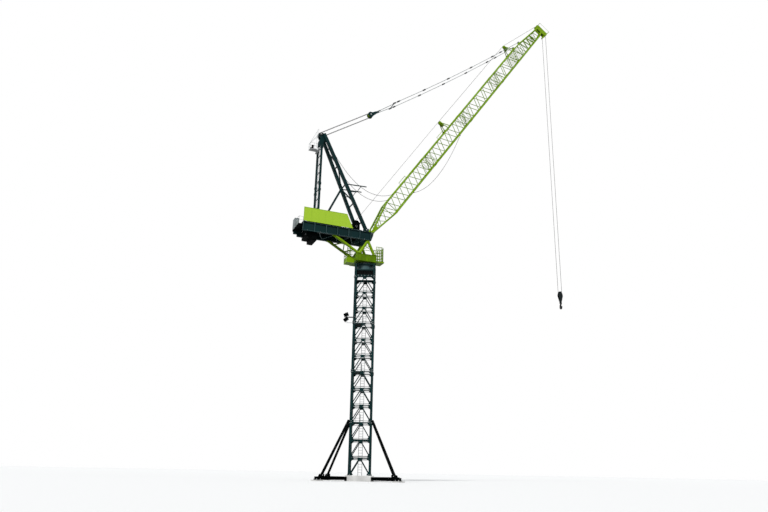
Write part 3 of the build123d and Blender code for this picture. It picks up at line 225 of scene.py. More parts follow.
TEAL = material("teal paint", (0.0052, 0.0262, 0.0272), 0.48, spec=0.06, spread=0.35, grain=7, streak=0.4)
# The teal paint lightened as a painted highlight, for edges and faces on the lit side
TEAL_PAINTED_HIGHLIGHT = material("teal paint with painted highlight", (0.045, 0.100, 0.105), 0.48, spec=0.25, spread=0.3, grain=9)
GREEN = material("green paint", (0.212, 0.378, 0.003), 0.46, spec=0.10, spread=0.22, grain=6, streak=0.3)
# The green paint darkened as painted shade for the slewing deck, its ribs and flanges; the heavier rain streaks
# are dirt
GREEN_PAINTED_SHADE = material("green paint with painted shade", (0.120, 0.236, 0.001), 0.46, spec=0.08, spread=0.35, grain=16,
                      streak=0.5)
LIME = material("lime paint", (0.395, 0.620, 0.030), 0.42, spec=0.25, spread=0.06, grain=4, bump=0.03,
                streak=0.06)
BLACK = material("black paint", (0.0018, 0.0028, 0.0029), 0.60, spec=0.01, spread=0.4, grain=10)
GREY = material("galvanised steel", (0.210, 0.240, 0.245), 0.50, metal=0.4, spread=0.3, grain=30, streak=0.3)
PALE = material("pale grey paint", (0.420, 0.470, 0.470), 0.50, spread=0.2, grain=12, streak=0.5)
GRATING = material("pale grating", (0.700, 0.720, 0.720), 0.60, spread=0.2, grain=40, bump=0.3, streak=0.3)
CONCRETE = material("concrete", (0.780, 0.775, 0.750), 0.90, spread=0.22, grain=14, bump=0.5, fine=320,
                    streak=0.35)
ROPE = material("wire rope", (0.014, 0.015, 0.016), 0.50, spec=0.15, spread=0.4, grain=60, bump=0.4, fine=900)
IRON = material("dark iron", (0.014, 0.017, 0.018), 0.46, metal=0.4, spec=0.25, spread=0.4, grain=40,
                bump=0.15)
RUBBER = material("black rubber", (0.012, 0.013, 0.014), 0.62, spread=0.35, grain=50, bump=0.12, fine=500)
STEEL = material("bright steel", (0.420, 0.430, 0.430), 0.33, metal=0.9, spread=0.35, grain=60)
GLASS = material("lamp glass", (0.620, 0.640, 0.620), 0.12, spread=0.1, grain=30, bump=0.02)
HOOK = material("hook paint", (0.007, 0.012, 0.013), 0.44, spec=0.06, spread=0.4, grain=30, streak=0.3)

looks = {
    "concrete": CONCRETE, "black_steel": BLACK, "teal_steel": TEAL, "grey_steel": GREY, "green_steel": GREEN,
    "lime_panel": LIME, "rope": ROPE, "sheave": IRON, "cable": RUBBER, "hook_paint": HOOK,
}
for subpart in frame["record"]["subparts"]:
    node = frame["nodes"][subpart["node"]]
    node.data.materials.clear()
    node.data.materials.append(looks[subpart["material_slot"]])
# The slewing deck takes the green paint with painted shade
frame["nodes"]["slew_deck"].data.materials[0] = GREEN_PAINTED_SHADE
frame["nodes"]["service_platforms"].data.materials[0] = GRATING


class Build:
    """Collects many simple shapes, in millimetres, into one mesh."""

    def __init__(self):
        self.points = []
        self.faces = []

    def shape(self, points, faces):
        base = len(self.points)
        self.points += [Vector(p) for p in points]
        self.faces += [tuple(base + i for i in face) for face in faces]
        return self

    def rings(self, rings, close=False):
        """Skins a list of equal rings of points and caps the ends."""
        sides = len(rings[0])
        faces = []
        count = len(rings)
        for k in range(count if close else count - 1):
            a, b = k * sides, (k + 1) % count * sides
            for i in range(sides):
                j = (i + 1) % sides
                faces.append((a + i, a + j, b + j, b + i))
        if not close:
            faces.append(tuple(range(sides))[::-1])
            faces.append(tuple(range((count - 1) * sides, count * sides)))
        return self.shape([p for ring in rings for p in ring], faces)

    def path(self, points, r, sides=8, close=False):
        """A round bar through points, turned as little as possible from one to the next."""
        points = [Vector(p) for p in points]
        count = len(points)
        lines = []
        for k in range(count):
            before = points[k - 1] if k or close else points[k]
            after = points[(k + 1) % count] if k < count - 1 or close else points[k]
            lines.append((after - before).normalized())
        across = lines[0].orthogonal().normalized()
        rings = []
        for point, line in zip(points, lines):
            across = (across - line * across.dot(line)).normalized()
            other = line.cross(across)
            turns = [2 * pi * i / sides for i in range(sides)]
            rings.append([point + (across * cos(a) + other * sin(a)) * r for a in turns])
        return self.rings(rings, close)

    def tube(self, a, b, r, sides=10):
        return self.path([a, b], r, sides)

    def box(self, mid, size, x=(1, 0, 0), z=(0, 0, 1)):
        """A block with its own x and z directions."""
        x, z = Vector(x).normalized(), Vector(z).normalized()
        y = z.cross(x)
        mid = Vector(mid)
        half = [s / 2 for s in size]
        ends = []
        for k in (-1, 1):
            corners = ((-1, -1), (1, -1), (1, 1), (-1, 1))
            ends.append([mid + x * half[0] * i + y * half[1] * j + z * half[2] * k for i, j in corners])
        return self.rings(ends)

    def plate(self, outline, thickness, origin, x, y):
        """A flat outline with a thickness, in the plane of x and y at the origin."""
        origin, x, y = Vector(origin), Vector(x).normalized(), Vector(y).normalized()
        up = x.cross(y)
        ends = []
        for level in (-thickness / 2, thickness / 2):
            ends.append([origin + x * u + y * v + up * level for u, v in outline])
        return self.rings(ends)

    def bolt(self, at, axis, r=1.3, height=1.0):
        """A hexagon head on a round washer."""
        at, axis = Vector(at), Vector(axis).normalized()
        self.path([at, at + axis * height * 0.3], r * 1.45, 10)
        return self.path([at + axis * height * 0.3, at + axis * (height * 1.3)], r, 6)

    def bolt_ring(self, centre, way, count, radius, r):
        """Bolts in a ring round a sideways axle."""
        for k in range(count):
            turn = 2 * pi * k / count
            self.bolt(centre + (X * cos(turn) + Z * sin(turn)) * radius, way, r)
        return self

    def railing(self, corners, heights, up=Z, r=0.8, spacing=26.0):
        """Posts along a line of floor points, with rails at several heights."""
        corners = [Vector(corner) for corner in corners]
        for a, b in zip(corners, corners[1:]):
            count = max(1, round((b - a).length / spacing))
            for k in range(count + 1):
                foot = a.lerp(b, k / count)
                self.tube(foot, foot + up * heights[-1], r, 6)
        for height in heights:
            self.path([corner + up * height for corner in corners], r, 6)
        return self

    def ladder(self, low, high, across, half, r=0.8, step=12.0):
        """Two rails with rungs between them."""
        low, high, across = Vector(low), Vector(high), Vector(across).normalized() * half
        for side in (-1, 1):
            self.tube(low + across * side, high + across * side, r, 6)
        count = int((high - low).length / step)
        for k in range(1, count):
            middle = low.lerp(high, k / count)
            self.tube(middle - across, middle + across, r * 0.75, 6)
        return self

    def make(self, name, body, slot, look=None, bevel=0.0):
        """Turns what was collected into a piece that rides on a body."""
        mesh = bpy.data.meshes.new(name)
        mesh.from_pydata([p * MM for p in self.points], [], self.faces)
        mesh.validate()
        work = bmesh.new()
        work.from_mesh(mesh)
        bmesh.ops.recalc_face_normals(work, faces=work.faces)
        work.to_mesh(mesh)
        work.free()
        mesh.shade_smooth()
        mesh.set_sharp_from_angle(angle=radians(38))
        mesh.materials.append(look or looks[slot])
        piece = bpy.data.objects.new(name, mesh)
        bpy.context.scene.collection.objects.link(piece)
        if bevel:
            edge = piece.modifiers.new("bevel", "BEVEL")
            edge.width = bevel * MM
            edge.segments = 2
            edge.limit_method = "ANGLE"
            edge.angle_limit = radians(50)
        if body:
            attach(piece, body)
        return piece


# Loose cables, which hang between clips


def hang(start, end, sag):
    """Points of a cable that hangs between two ends, closer together near the ends."""
    points = []
    for step in range(CABLE_RUNS + 1):
        share = step / CABLE_RUNS / 2 + (1 - cos(pi * step / CABLE_RUNS)) / 4
        points.append(start.lerp(end, share) - Z * (4 * sag * share * (1 - share)))
    return points


def route(name, points):
    """A smooth line with the cable's points as its control points."""
    line = bpy.data.curves.new(name, "CURVE")
    line.dimensions = "3D"
    line.resolution_u = 8
    spline = line.splines.new("NURBS")
    spline.points.add(len(points) - 1)
    for knot, point in zip(spline.points, points):
        knot.co = (*(point * MM), 1)
    spline.order_u = 3
    spline.use_endpoint_u = True
    return bpy.data.objects.new(name, line)


def along_route(points):
    """Points read from the smooth line, in millimetres."""
    guide = route("guide", points)
    mesh = bpy.data.meshes.new_from_object(guide)
    found = [vertex.co / MM for vertex in mesh.vertices]
    bpy.data.objects.remove(guide)
    return found


def declare(node, line):
    """Hides the solid of a piece that a hanging cable stands in for."""
    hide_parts(node)


LEAN = (FRAME_HEAD_X - FRAME_FOOT) / (FRAME_HEAD_Z - GIRDER_TOP)
CLIP_OFF = Vector((FRAME_LEG / 2 * hypot(1, LEAN) + CABLE_R + 0.3, 4, 0))
CLIP_T = CHORD / 2 + CABLE_R + 0.3
frame_clips, jib_clips = Build(), Build()
for node, z, s, sag in HUNG_CABLES:
    start, end = leg_point(z, -1) + CLIP_OFF, jib(s, JIB_UP + CLIP_T, -JIB_HALF)
    line = along_route(hang(start, end, sag))
    cable = Build().path(line, CABLE_R, 10).make(f"{node}_line", None, "cable")
    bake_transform(cable)
    declare(node, line)
    frame_clips.box(start - X, (5, 5, 4))
    jib_clips.box(end, (5, 6, 4), ALONG, ABOVE)
start, end = [jib(s, -JIB_DOWN - CLIP_T, -JIB_HALF) for s in UNDER_CABLE]
knots = hang(start, end, UNDER_SAG)
under = route("cable_under_line", knots)
under.data.bevel_depth = CABLE_R * MM
under.data.bevel_resolution = 3
under.data.use_fill_caps = True
under.data.materials.append(RUBBER)
bpy.context.scene.collection.objects.link(under)
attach(under, "jib")
declare("cable_under", along_route(knots))
for point in (start, end):
    jib_clips.box(point, (5, 6, 4), ALONG, ABOVE)
frame_clips.make("cable_clips_frame", "upper", "black_steel", bevel=0.4)
jib_clips.make("cable_clips_jib", "jib", "black_steel", bevel=0.4)

# Wire ropes, straight between their wheels
WIDEN = hypot(GROOVE, GROOVE_HALF) / GROOVE_HALF
ROPE_RISE, LUFF_RISE = [(r + ROPE_GAP) * WIDEN - GROOVE for r in (ROPE_R, LUFF_ROPE_R)]


def tangent(a, ra, b, rb, y=0.0):
    """Ends of a straight rope between two wheels, on the left of its run for radii over zero."""
    turn = atan2(b.z - a.z, b.x - a.x) + asin((rb - ra) / hypot(b.x - a.x, b.z - a.z))
    normal = Vector((-sin(turn), 0, cos(turn)))
    return Vector((a.x, y, a.z)) + normal * ra, Vector((b.x, y, b.z)) + normal * rb


def wrap(build, centre, r, first, last, y=0.0, rope=ROPE_R):
    """A stretch of rope round a wheel, between two angles in degrees."""
    count = max(4, int(abs(last - first) / 12))
    turns = [radians(first + (last - first) * k / count) for k in range(count + 1)]
    build.path([Vector((centre.x, y, centre.z)) + (X * cos(a) + Z * sin(a)) * r for a in turns], rope, 8)


head = Vector((-HEAD_X, 0, HEAD_Z))
anchor = jib(MAIN_END, ANCHOR_T, 0)
LINE = (head - anchor).normalized()
LINE_RUN = (head - anchor).length


def line_point(away, side=0.0):
    """A point of the sagging pendant line, at a distance from its anchor."""
    low = 4 * PENDANT_SAG * away * (LINE_RUN - away) / LINE_RUN ** 2
    return anchor + LINE * away + LINE.cross(Y) * low + Y * side


block = line_point(PENDANT + BLOCK_LINK)
back = (head - block).normalized()
runs, head_wraps, jib_wraps = Build(), Build(), Build()
fall = atan2(-back.z, -back.x) * 180 / pi
for y in (-ROPE_SPREAD / 2, ROPE_SPREAD / 2):
    for above in (-1, 1):
        ends = tangent(head, above * (HEAD_R + LUFF_RISE), block, above * (BLOCK_R + LUFF_RISE), y)
        runs.tube(*ends, LUFF_ROPE_R, 10)
    wrap(head_wraps, head, HEAD_R + LUFF_RISE, fall + 92, fall + 268, y, LUFF_ROPE_R)
    wrap(jib_wraps, block, BLOCK_R + LUFF_RISE, fall + 88, fall - 88, y, LUFF_ROPE_R)
runs = runs.make("luffing_rope_runs", None, "rope")
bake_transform(runs)
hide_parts("luffing_ropes")
head_wraps.make("luffing_rope_wraps", "upper", "rope")

drum = Vector((-DRUM_X, 0, FLOOR_TOP + DRUM_CLEAR + DRUM_FLANGE + DRUM_R))
posts = [jib(s, POST_UP, 0) for s in (POST_NEAR, POST_FAR)]
noses = [jib(NOSE, t, 0) for t in (NOSE_UP, -NOSE_DOWN)]
leave, meet = tangent(drum, DRUM_R + ROPE_R + ROPE_GAP, posts[0], POST_R + ROPE_RISE)
lower = Build().tube(leave, meet, ROPE_R, 10).make("hoist_rope_run", None, "rope")
way = (meet - leave).normalized()
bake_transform(lower)
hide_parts("hoist_rope_lower")
tilt = LUFF * 180 / pi
wrap(jib_wraps, noses[0], NOSE_R + ROPE_RISE, tilt + 76, tilt)
wrap(jib_wraps, noses[1], NOSE_R + ROPE_RISE, tilt, 0)
jib_wraps.make("jib_rope_wraps", "jib", "rope")

hook = Vector((noses[1].x - HOOK_LEAN, 0, HOOK_Z))
dead = noses[1] + Vector((-FALL_INSET, 0, -FALL_DROP - FORK_LOW))
falls = Build()
falls.tube(*tangent(noses[1], NOSE_R + ROPE_RISE, hook, HOOK_R + ROPE_RISE), ROPE_R + ROPE_GAP, 10)
falls.tube(*tangent(dead, 0, hook, -HOOK_R - ROPE_RISE), ROPE_R + ROPE_GAP, 10)
falls = falls.make("hoist_fall_runs", None, "rope")
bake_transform(falls)
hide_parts("hoist_falls")
hook_wrap = Build()
wrap(hook_wrap, hook, HOOK_R + ROPE_RISE, 2, -182)
hook_wrap.make("hook_rope_wrap", "block", "rope")

# Tower: gussets and thin bars, splice bolts, anchors, rails, lamps, a painted highlight on the pedestal's barrel
# and ring teeth
gussets, bolts, rails, black = Build(), Build(), Build(), Build()
for along, out in MAST_FACES:
    for level in range(PANELS + 1):
        middle = out * (MAST_HALF + BRACE / 2) + Z * (MAST_FOOT + level * PANEL - BRACE / 2)
        if level:
            gussets.plate(((-16, 2), (-7, -15), (7, -15), (16, 2)), 1.8, middle, along, Z)
            for drop in (Z * 9, Z * -9):
                gussets.tube(middle - along * MAST_HALF - drop, middle + along * MAST_HALF - drop, 1.1, 6)
        for side in (-1, 1):
            corner = middle + along * side * (MAST_HALF - LEG / 2)
            inward = along * -side
            if level:
                gussets.plate(((0, -16), (16, -1), (16, 2), (0, 2)), 1.8, corner, inward, Z)
            if level < PANELS:
                gussets.plate(((0, 5), (12, 5), (0, 25)), 1.8, corner, inward, Z)
gussets.make("mast_gussets", "tower", "teal_steel", bevel=0.3)

for joint in range(SECTIONS + 1):
    for sx in (-1, 1):
        for sy in (-1, 1):
            leg = mast(sx * MAST_HALF, sy * MAST_HALF, MAST_FOOT + joint * SECTION)
            for out, across in ((MAST_X * sx, MAST_Y), (MAST_Y * sy, MAST_X)):
                for up in [k for k in (-5, 5) if 0 < joint * SECTION + k < SECTIONS * SECTION]:
                    for u in (-4, 4):
                        bolts.bolt(leg + out * COLLAR / 2 + across * u + Z * up, out, 1.2)

for number in range(4):
    turn = radians(45 + 90 * number)
    radial = MAST_X * cos(turn) + MAST_Y * sin(turn)
    across = MAST_Y * cos(turn) - MAST_X * sin(turn)
    for k in range(4):
        at = radial * PAD_R + (MAST_X * cos(pi / 2 * k) + MAST_Y * sin(pi / 2 * k)) * ANCHOR_R
        bolts.tube(at + Z * 2, at + Z * 13, 1.5, 8)
        bolts.tube(at + Z * 6, at + Z * 6.8, 3.7, 14)
        bolts.tube(at + Z * 6.8, at + Z * 9.6, 2.9, 6)
    for r in BEAM_RIBS:
        for side in (-1, 1):
            black.box(radial * r + across * side * 5.5 + Z * (BEAM_TOP - 8.5), (2, 6, 11), radial)
    pin = radial * STRUT_R + Z * (BEAM_TOP + 7)
    bolts.tube(pin - across * 13, pin + across * 13, 2.6, 14)

for number in range(SECTIONS - 1):
    z = MAST_FOOT + (number + 1) * SECTION
    corners = [mast(x, y, z) for x, y in LANDING_RAIL]
    rails.railing(corners, (22, 44), spacing=25)
lamp_y = -MAST_HALF - LEG / 2 - 1.4
for z in (LAMP_Z + 2, LAMP_Z - 34):
    rails.tube(*[mast(x, lamp_y, z) for x in LAMP_BAR], 1.2, 8)
    for x in (-MAST_HALF, MAST_HALF):
        black.box(mast(x, lamp_y + 1, z), (5, 6, 7), MAST_X)
rails.tube(*[mast(LAMP_BAR[0], lamp_y, LAMP_Z + rise) for rise in (-34, 20)], 1.2, 8)
glass = Build()
for up, turn in zip((LAMP_SPREAD, -LAMP_SPREAD), LAMP_TILTS):
    middle = mast(LAMP_X, -MAST_HALF, LAMP_Z + up)
    right_way = MAST_X * cos(turn) + Z * sin(turn)
    top_way = Z * cos(turn) - MAST_X * sin(turn)
    glass.box(middle - top_way * 8.3, (22, 12, 0.8), right_way, top_way)
    black.box(middle + top_way * 1.5, LAMP_CASE, right_way, top_way)
    for k in range(-2, 3):
        black.box(middle + top_way * 11.5 + right_way * k * 5, (1.4, 15, 2.4), right_way, top_way)
    ends = [middle + MAST_Y * side * 9.4 for side in (-1, 1)]
    black.path([ends[0], ends[0] + top_way * 13, ends[1] + top_way * 13, ends[1]], 1.1, 6)
glass.make("lamp_glass", "tower", "grey_steel", GLASS, bevel=0.2)

teeth = Build()
for k in range(RING_TEETH):
    turn = 2 * pi * k / RING_TEETH
    out = X * cos(turn) + Y * sin(turn)
    teeth.box(out * (RING_R + 0.8) + Z * (RING_Z + 6), (2.6, 2.4, 9), out)
    if k % 3 == 0:
        bolts.bolt(out * (RING_R + 6.5) + Z * PEDESTAL_TOP, Z, 1.5)
for along, out in MAST_FACES:
    for u in SILL_BOLTS:
        bolts.bolt(out * (MAST_HALF + LEG / 2) + along * u + Z * PEDESTAL_SILL, out, 1.2)
black.box(Z * (BARREL_LOW - 0.6), (116, 116, 1), MAST_X)
# Thin strips of teal with painted highlight over the half of the barrel that faces the camera and the key light
barrel_highlight = Build()
for k in range(-6, 7):
    turn = radians(10 * k)
    out = MAST_X * sin(turn) - MAST_Y * cos(turn)
    middle = out * (BARREL_R + 0.2) + Z * (BARREL_LOW + PEDESTAL_TOP) / 2
    barrel_highlight.box(middle, (0.8, 9.6, PEDESTAL_TOP - BARREL_LOW - 14), out)
barrel_highlight.make("pedestal_painted_highlight", "tower", "teal_steel", TEAL_PAINTED_HIGHLIGHT)
teeth.make("ring_teeth", "tower", "grey_steel", IRON, bevel=0.2)
bolts.make("tower_bolts", "tower", "grey_steel", STEEL)
rails.make("tower_rails", "tower", "grey_steel")
black.make("tower_brackets", "tower", "black_steel", bevel=0.3)

# Slewing deck: welded lips and ribs, railed platforms, ladder, pylon flanges and bars
low, high = node_box("slew_deck")
green, rails, bolts, black, teal = Build(), Build(), Build(), Build(), Build()
middle = (low + high) / 2
for y in (low.y, high.y):
    for z in (low.z + 2, high.z - 2):
        green.box((middle.x, y, z), (high.x - low.x - 8, 3, 3))
    for k in range(6):
        green.box((low.x + 10 + k * (high.x - low.x - 20) / 5, y, middle.z), (2, 2.4, high.z - low.z - 6))
front = high.z - FRONT_WALK_DROP
cage = ((high.x + 1, CAGE[0][1]), *CAGE, (high.x + 1, CAGE[-1][1]))
rails.railing([(x, y, front) for x, y in cage], (20, 40, 60, 80, 98), r=1.7, spacing=11)
rear = PEDESTAL_TOP + 8
tray = ((low.x - 1, TRAY[0][1]), *TRAY, (low.x - 1, TRAY[1][1]))
rails.railing([(x, y, rear) for x, y in tray], (50, 70), r=1.2, spacing=16)
foot = TRAY_LADDER + Z * rear
rails.ladder(foot, foot + Z * TRAY_LADDER_RISE, X, 9, 2.2, 8)
for side in (-1, 1):
    y = side * (GIRDER_Y - 5)
    ends = [(x, high.z + 1.4) for x in (PYLON_REAR, PYLON_FRONT)]
    ends += [(x, GIRDER_LOW - 1.4) for x in (PYLON_TOP, PROP_TOP)]
    for x, z in ends:
        green.box((x, y, z), (28, 21, 2.4))
        for dx in (-11.5, 11.5):
            for dy in (-8, 8):
                bolts.bolt((x + dx, y + dy, z + 1.2), Z, 1.3)
    apex = Vector((PYLON_TOP, y, GIRDER_LOW))
    feet = [Vector((x, y, high.z)) for x in (PYLON_REAR, PYLON_FRONT)]
    lower, upper = [[foot.lerp(apex, share) for foot in feet] for share in (0.3, 0.62)]
    for a, b in (lower, upper, (lower[0], upper[1]), (lower[1], upper[0])):
        rails.tube(a, b, 1.6, 6)
rails.make("slew_deck_rails", "upper", "green_steel")
# Lips, ribs and pylon flanges in the green paint with painted shade
green.make("slew_deck_ribs", "upper", "green_steel", GREEN_PAINTED_SHADE, bevel=0.4)

# Girders: lateral bracing below the floor and rib and flange edges in teal with painted highlight, pin caps and
# counterweight rods
points = []
for k in range(LATERALS + 1):
    y = GIRDER_INNER if k % 2 else -GIRDER_INNER
    points.append(Vector((LATERAL_FRONT - k * LATERAL_RUN / LATERALS, y, GIRDER_LOW + 5)))
# Bracing bars, rib edges and thin flange strips, all in teal with painted highlight
pale = Build()
for a, b in zip(points, points[1:]):
    pale.tube(a, b, 1.8, 8)
for side in (-1, 1):
    cap = Vector((PIVOT_X, side * 65, PIVOT_Z))
    teal.tube(cap - Y * side * 3, cap, 6.5, 20)
    bolts.bolt_ring(cap, Y * side, 6, 4.4, 0.8)
    for k in range(7):
        middle = (RIB_X + k * RIB_STEP, side * (GIRDER_Y + 7), (GIRDER_LOW + GIRDER_TOP) / 2)
        pale.box(middle, (2.6, 1, GIRDER_TOP - GIRDER_LOW - 8))
    for z, thick in ((GIRDER_TOP - 1.6, 2.6), (GIRDER_LOW + 1.6, 1.6)):
        pale.box(((RIB_X - 4) / 2, side * (GIRDER_Y + 7.6), z), (-RIB_X - 8, 0.6, thick))
    for x in range(-400, -20, 40):
        for z in (GIRDER_LOW + 1.6, GIRDER_TOP - 1.6):
            bolts.bolt((x, side * (GIRDER_Y + 7.5), z), Y * side, 0.9)
pale.make("girder_laterals", "upper", "teal_steel", TEAL_PAINTED_HIGHLIGHT)
low, high = node_box("counterweights")
for y in (-WEIGHT_ROD_Y, WEIGHT_ROD_Y):
    for z in (GIRDER_LOW - 14, GIRDER_LOW + 30):
        black.tube((low.x - 4, y, z), (high.x + 4, y, z), 2.2, 10)
        for x, way in ((low.x, -X), (high.x, X)):
            bolts.bolt((x, y, z), way, 3.4, 2.2)

# Side panels: bare sheet with an edge trim, seams and rivets, and rails behind
low, high = node_box("side_panels")
lime, frames = Build(), Build()
for side, rear_x in PANEL_REARS:
    y = side * (high.y + 0.2)
    outline = ((rear_x, low.z + 1), (PANEL_FRONT, low.z + 1), (PANEL_SLOPE, high.z - 1), (rear_x, high.z - 1))
    lime.path([(x, y, z) for x, z in outline], 1.1, 4, close=True)
    for k in range(int((PANEL_SLOPE - rear_x) / SEAM_STEP)):
        x = rear_x + (k + 1) * SEAM_STEP
        lime.box((x, y, (low.z + high.z) / 2), (1.4, 0.7, high.z - low.z - 4))
    for k in range(int((PANEL_FRONT - 3 - rear_x) / RIVET_STEP)):
        x = rear_x + 6 + k * RIVET_STEP
        lime.bolt((x, y, low.z + 4), Y * side, 0.6, 0.5)
        if x < PANEL_SLOPE - 4:
            lime.bolt((x, y, high.z - 4), Y * side, 0.6, 0.5)
    for z in (low.z + 24, high.z - 20):
        frames.tube((rear_x + 3, side * 66.5, z), (PANEL_SLOPE - 8, side * 66.5, z), 1.6, 6)
lime.make("panel_trim", "upper", "lime_panel")

# Rear walk: rails, cabinet doors and lid, and a small box below
rails, pale = Build(), Build()
low, high = node_box("rear_cabinet")
walk = low.z
corners = [(x, side * WALK_HALF, walk) for x, side in
           ((WALK_FRONT, -1), (WALK_REAR, -1), (WALK_REAR, 1), (WALK_FRONT, 1))]
rails.railing(corners, (22, 44), spacing=26)
for y, way in ((low.y, -1), (high.y, 1)):
    pale.box(((low.x + high.x) / 2, y + 0.5 * way, walk + 32), (21, 1, 56))
    for k in range(5):
        pale.box(((low.x + high.x) / 2, y + 1.2 * way, walk + 12 + k * 4), (14, 0.8, 1.4))
    bolts.box((low.x + 6, y + 1.6 * way, walk + 36), (1.4, 1.6, 8))
pale.box(((low.x + high.x) / 2, (low.y + high.y) / 2, high.z + 0.6), (28, 52, 1.4))
teal.box((-442, GIRDER_Y, walk - 13.4), (22, 15, 21))
pale.make("cabinet_doors", "upper", "grey_steel", PALE, bevel=0.3)

# A-frame: foot lugs, gussets, leg tops, collars, tie ladder, basket and axle nuts
for side in (-1, 1):
    foot = leg_point(GIRDER_TOP + 9, side)
    for dy in (-10.6, 10.6):
        teal.box(foot + Y * dy, (30, 2.6, 17))
    bolts.tube(foot - Y * 13.5, foot + Y * 13.5, 3.4, 16)
    for z in FRAME_GUSSETS:
        spot = leg_point(z, side)
        teal.plate(((0, -12), (15, -4), (15, 4), (0, 12)), 1.8, spot - Y * side * 9, -Y * side, Z - X * LEAN)
    start, end = leg_point(FRAME_HEAD_Z - 4, side), leg_point(HEAD_Z + 2, side)
    way, wide = (end - start).normalized(), FRAME_LEG * 0.96
    teal.box((start + end) / 2, ((end - start).length, wide, wide), way, way.cross(Y))
    tie = Vector((-TIE_X, side * TIE_Y, 0))
    for z in (FLOOR_TOP + 7, *TIE_COLLARS, TIE_TOP - 20):
        teal.box(tie + Z * z, (16, 16, 13))
        for way in (-X, X):
            bolts.bolt(tie + Z * z + way * 8, way, 2.0, 1.2)
    bolts.bolt_ring(head + Y * side * 18.8, Y * side, 8, 7.6, 0.8)
    black.tube(head + Y * side * 17.6, head + Y * side * 18.8, 11.5, 28)
    bolts.tube(head + Y * side * 18.6, head + Y * side * 21, 4.2, 6)
rails.ladder((-TIE_X - 3, 0, FLOOR_TOP), (-TIE_X - 3, 0, TIE_TOP - 6), Y, 9)
pale = Build()
for side in (-1, 1):
    outer = Vector((1 - BASKET_REAR, side * (BASKET_HALF - 1), BASKET_TOP - 3))
    inner = Vector((-BASKET_FRONT, outer.y, outer.z))
    pale.railing([outer, inner], (24, 44), r=0.7, spacing=25)
    for rise in (108, 150):
        pale.tube(outer + Z * 44, inner + Z * rise, 0.8, 6)
    pale.tube(inner, inner + Z * 150, 0.8, 6)
    black.box(outer.lerp(inner, 0.3) + Z * 16, (12, 9, 20))
for x, z in ((BASKET_REAR - 1, 24), (BASKET_REAR - 1, 44), (BASKET_FRONT, 150)):
    at = Vector((-x, 0, BASKET_TOP - 3 + z))
    pale.tube(at - Y * (BASKET_HALF - 1), at + Y * (BASKET_HALF - 1), 0.8, 6)
pale.make("basket_rails", "upper", "grey_steel", PALE)

# Winches: rope layers, end caps with bolts, and feet of the end plates
layers = Build()
for x, r in ((DRUM_X, DRUM_R), (LUFF_DRUM_X, LUFF_DRUM_R)):
    z = FLOOR_TOP + DRUM_CLEAR + DRUM_FLANGE + r
    for k in range(-13, 14):
        turns = [2 * pi * i / 24 for i in range(24)]
        loop = [(-x + (r + 0.7) * cos(a), k * 2.1, z + (r + 0.7) * sin(a)) for a in turns]
        layers.path(loop, 0.95, 6, close=True)
    for side in (-1, 1):
        cap = Vector((-x, side * (DRUM_HALF + 12), z))
        black.tube(cap - Y * side * 3, cap, 8, 24)
        bolts.bolt_ring(cap, Y * side, 6, 5.6, 0.9)
        for dx in (-r, r):
            black.box((-x + dx * 0.9, side * (DRUM_HALF + 10), FLOOR_TOP + 3), (6, 6, 6))
layers.make("winch_rope_layers", "upper", "rope")
rails.make("upper_rails", "upper", "grey_steel")
frames.make("panel_frames", "upper", "black_steel")
bolts.make("upper_bolts", "upper", "grey_steel", STEEL)
black.make("upper_brackets", "upper", "black_steel", bevel=0.3)
teal.make("upper_gussets", "upper", "teal_steel", bevel=0.3)

# Jib: section joints with cross frames, stiffened chords, rail loops, head rails, root rungs and hatches
bars, boxes, rails, bolts = Build(), Build(), Build(), Build()
for s in SECTION_JOINTS:
    for step in (-JOINT_GAP, JOINT_GAP):
        corners = [jib(s + step, t, y) for t, y in
                   ((JIB_UP, -JIB_HALF), (JIB_UP, JIB_HALF), (-JIB_DOWN, JIB_HALF), (-JIB_DOWN, -JIB_HALF))]
        for a, b in zip(corners, corners[1:] + corners[:1]):
            bars.tube(a, b, 1.4, 6)
        bars.tube(corners[0], corners[2], 1.1, 6)
        for y in (-JIB_HALF, JIB_HALF):
            reach = s + (4 if step > 0 else -4) * JOINT_GAP
            bars.tube(jib(s + step, JIB_UP, y), jib(reach, -JIB_DOWN, y), 1.2, 6)
            bars.tube(jib(s + step, -JIB_DOWN, y), jib(reach, JIB_UP, y), 1.2, 6)
    for t in (JIB_UP, -JIB_DOWN):
        for y in (-JIB_HALF, JIB_HALF):
            boxes.box(jib(s, t, y), (22, 10.5, 10.5), ALONG, ABOVE)
            for step in (-6, 6):
                bolts.tube(jib(s + step, t, y - 7), jib(s + step, t, y + 7), 1.7, 10)
for near, far in CHORD_BOXES:
    boxes.box(jib((near + far) / 2, JIB_UP + 3, -JIB_HALF), (far - near, 10, 13), ALONG, ABOVE)
for near, far in RAIL_LOOPS:
    foot, top = JIB_UP + CHORD / 2, JIB_UP + 21
    rails.path([jib(near, foot, -JIB_HALF), jib(near, top, -JIB_HALF), jib(far, top, -JIB_HALF),
                jib(far, foot, -JIB_HALF)], 1.7, 6)
for side in (-1, 1):
    y = side * JIB_HALF
    boxes.plate(((-16, 0), (16, 0), (7, 13), (-7, 13)), 5, jib(MAIN_END, JIB_UP + 2, y), ALONG, ABOVE)
    bolts.tube(jib(MAIN_END, ANCHOR_T, y - 6), jib(MAIN_END, ANCHOR_T, y + 6), 2, 12)
    for s in (POST_NEAR, POST_FAR):
        boxes.box(jib(s, JIB_UP + 5, y), (34, 8, 4), ALONG, ABOVE)
    bolts.tube(jib(0, 0, side * FOOT_HALF - 5), jib(0, 0, side * FOOT_HALF + 5), 5.2, 16)
    corners = [jib(at, t, side * NOSE_HALF * 0.9) for at, t in NOSE_RAIL]
    rails.path(corners[:3], 0.9, 6)
    rails.tube(corners[2], corners[3], 1.9, 6)
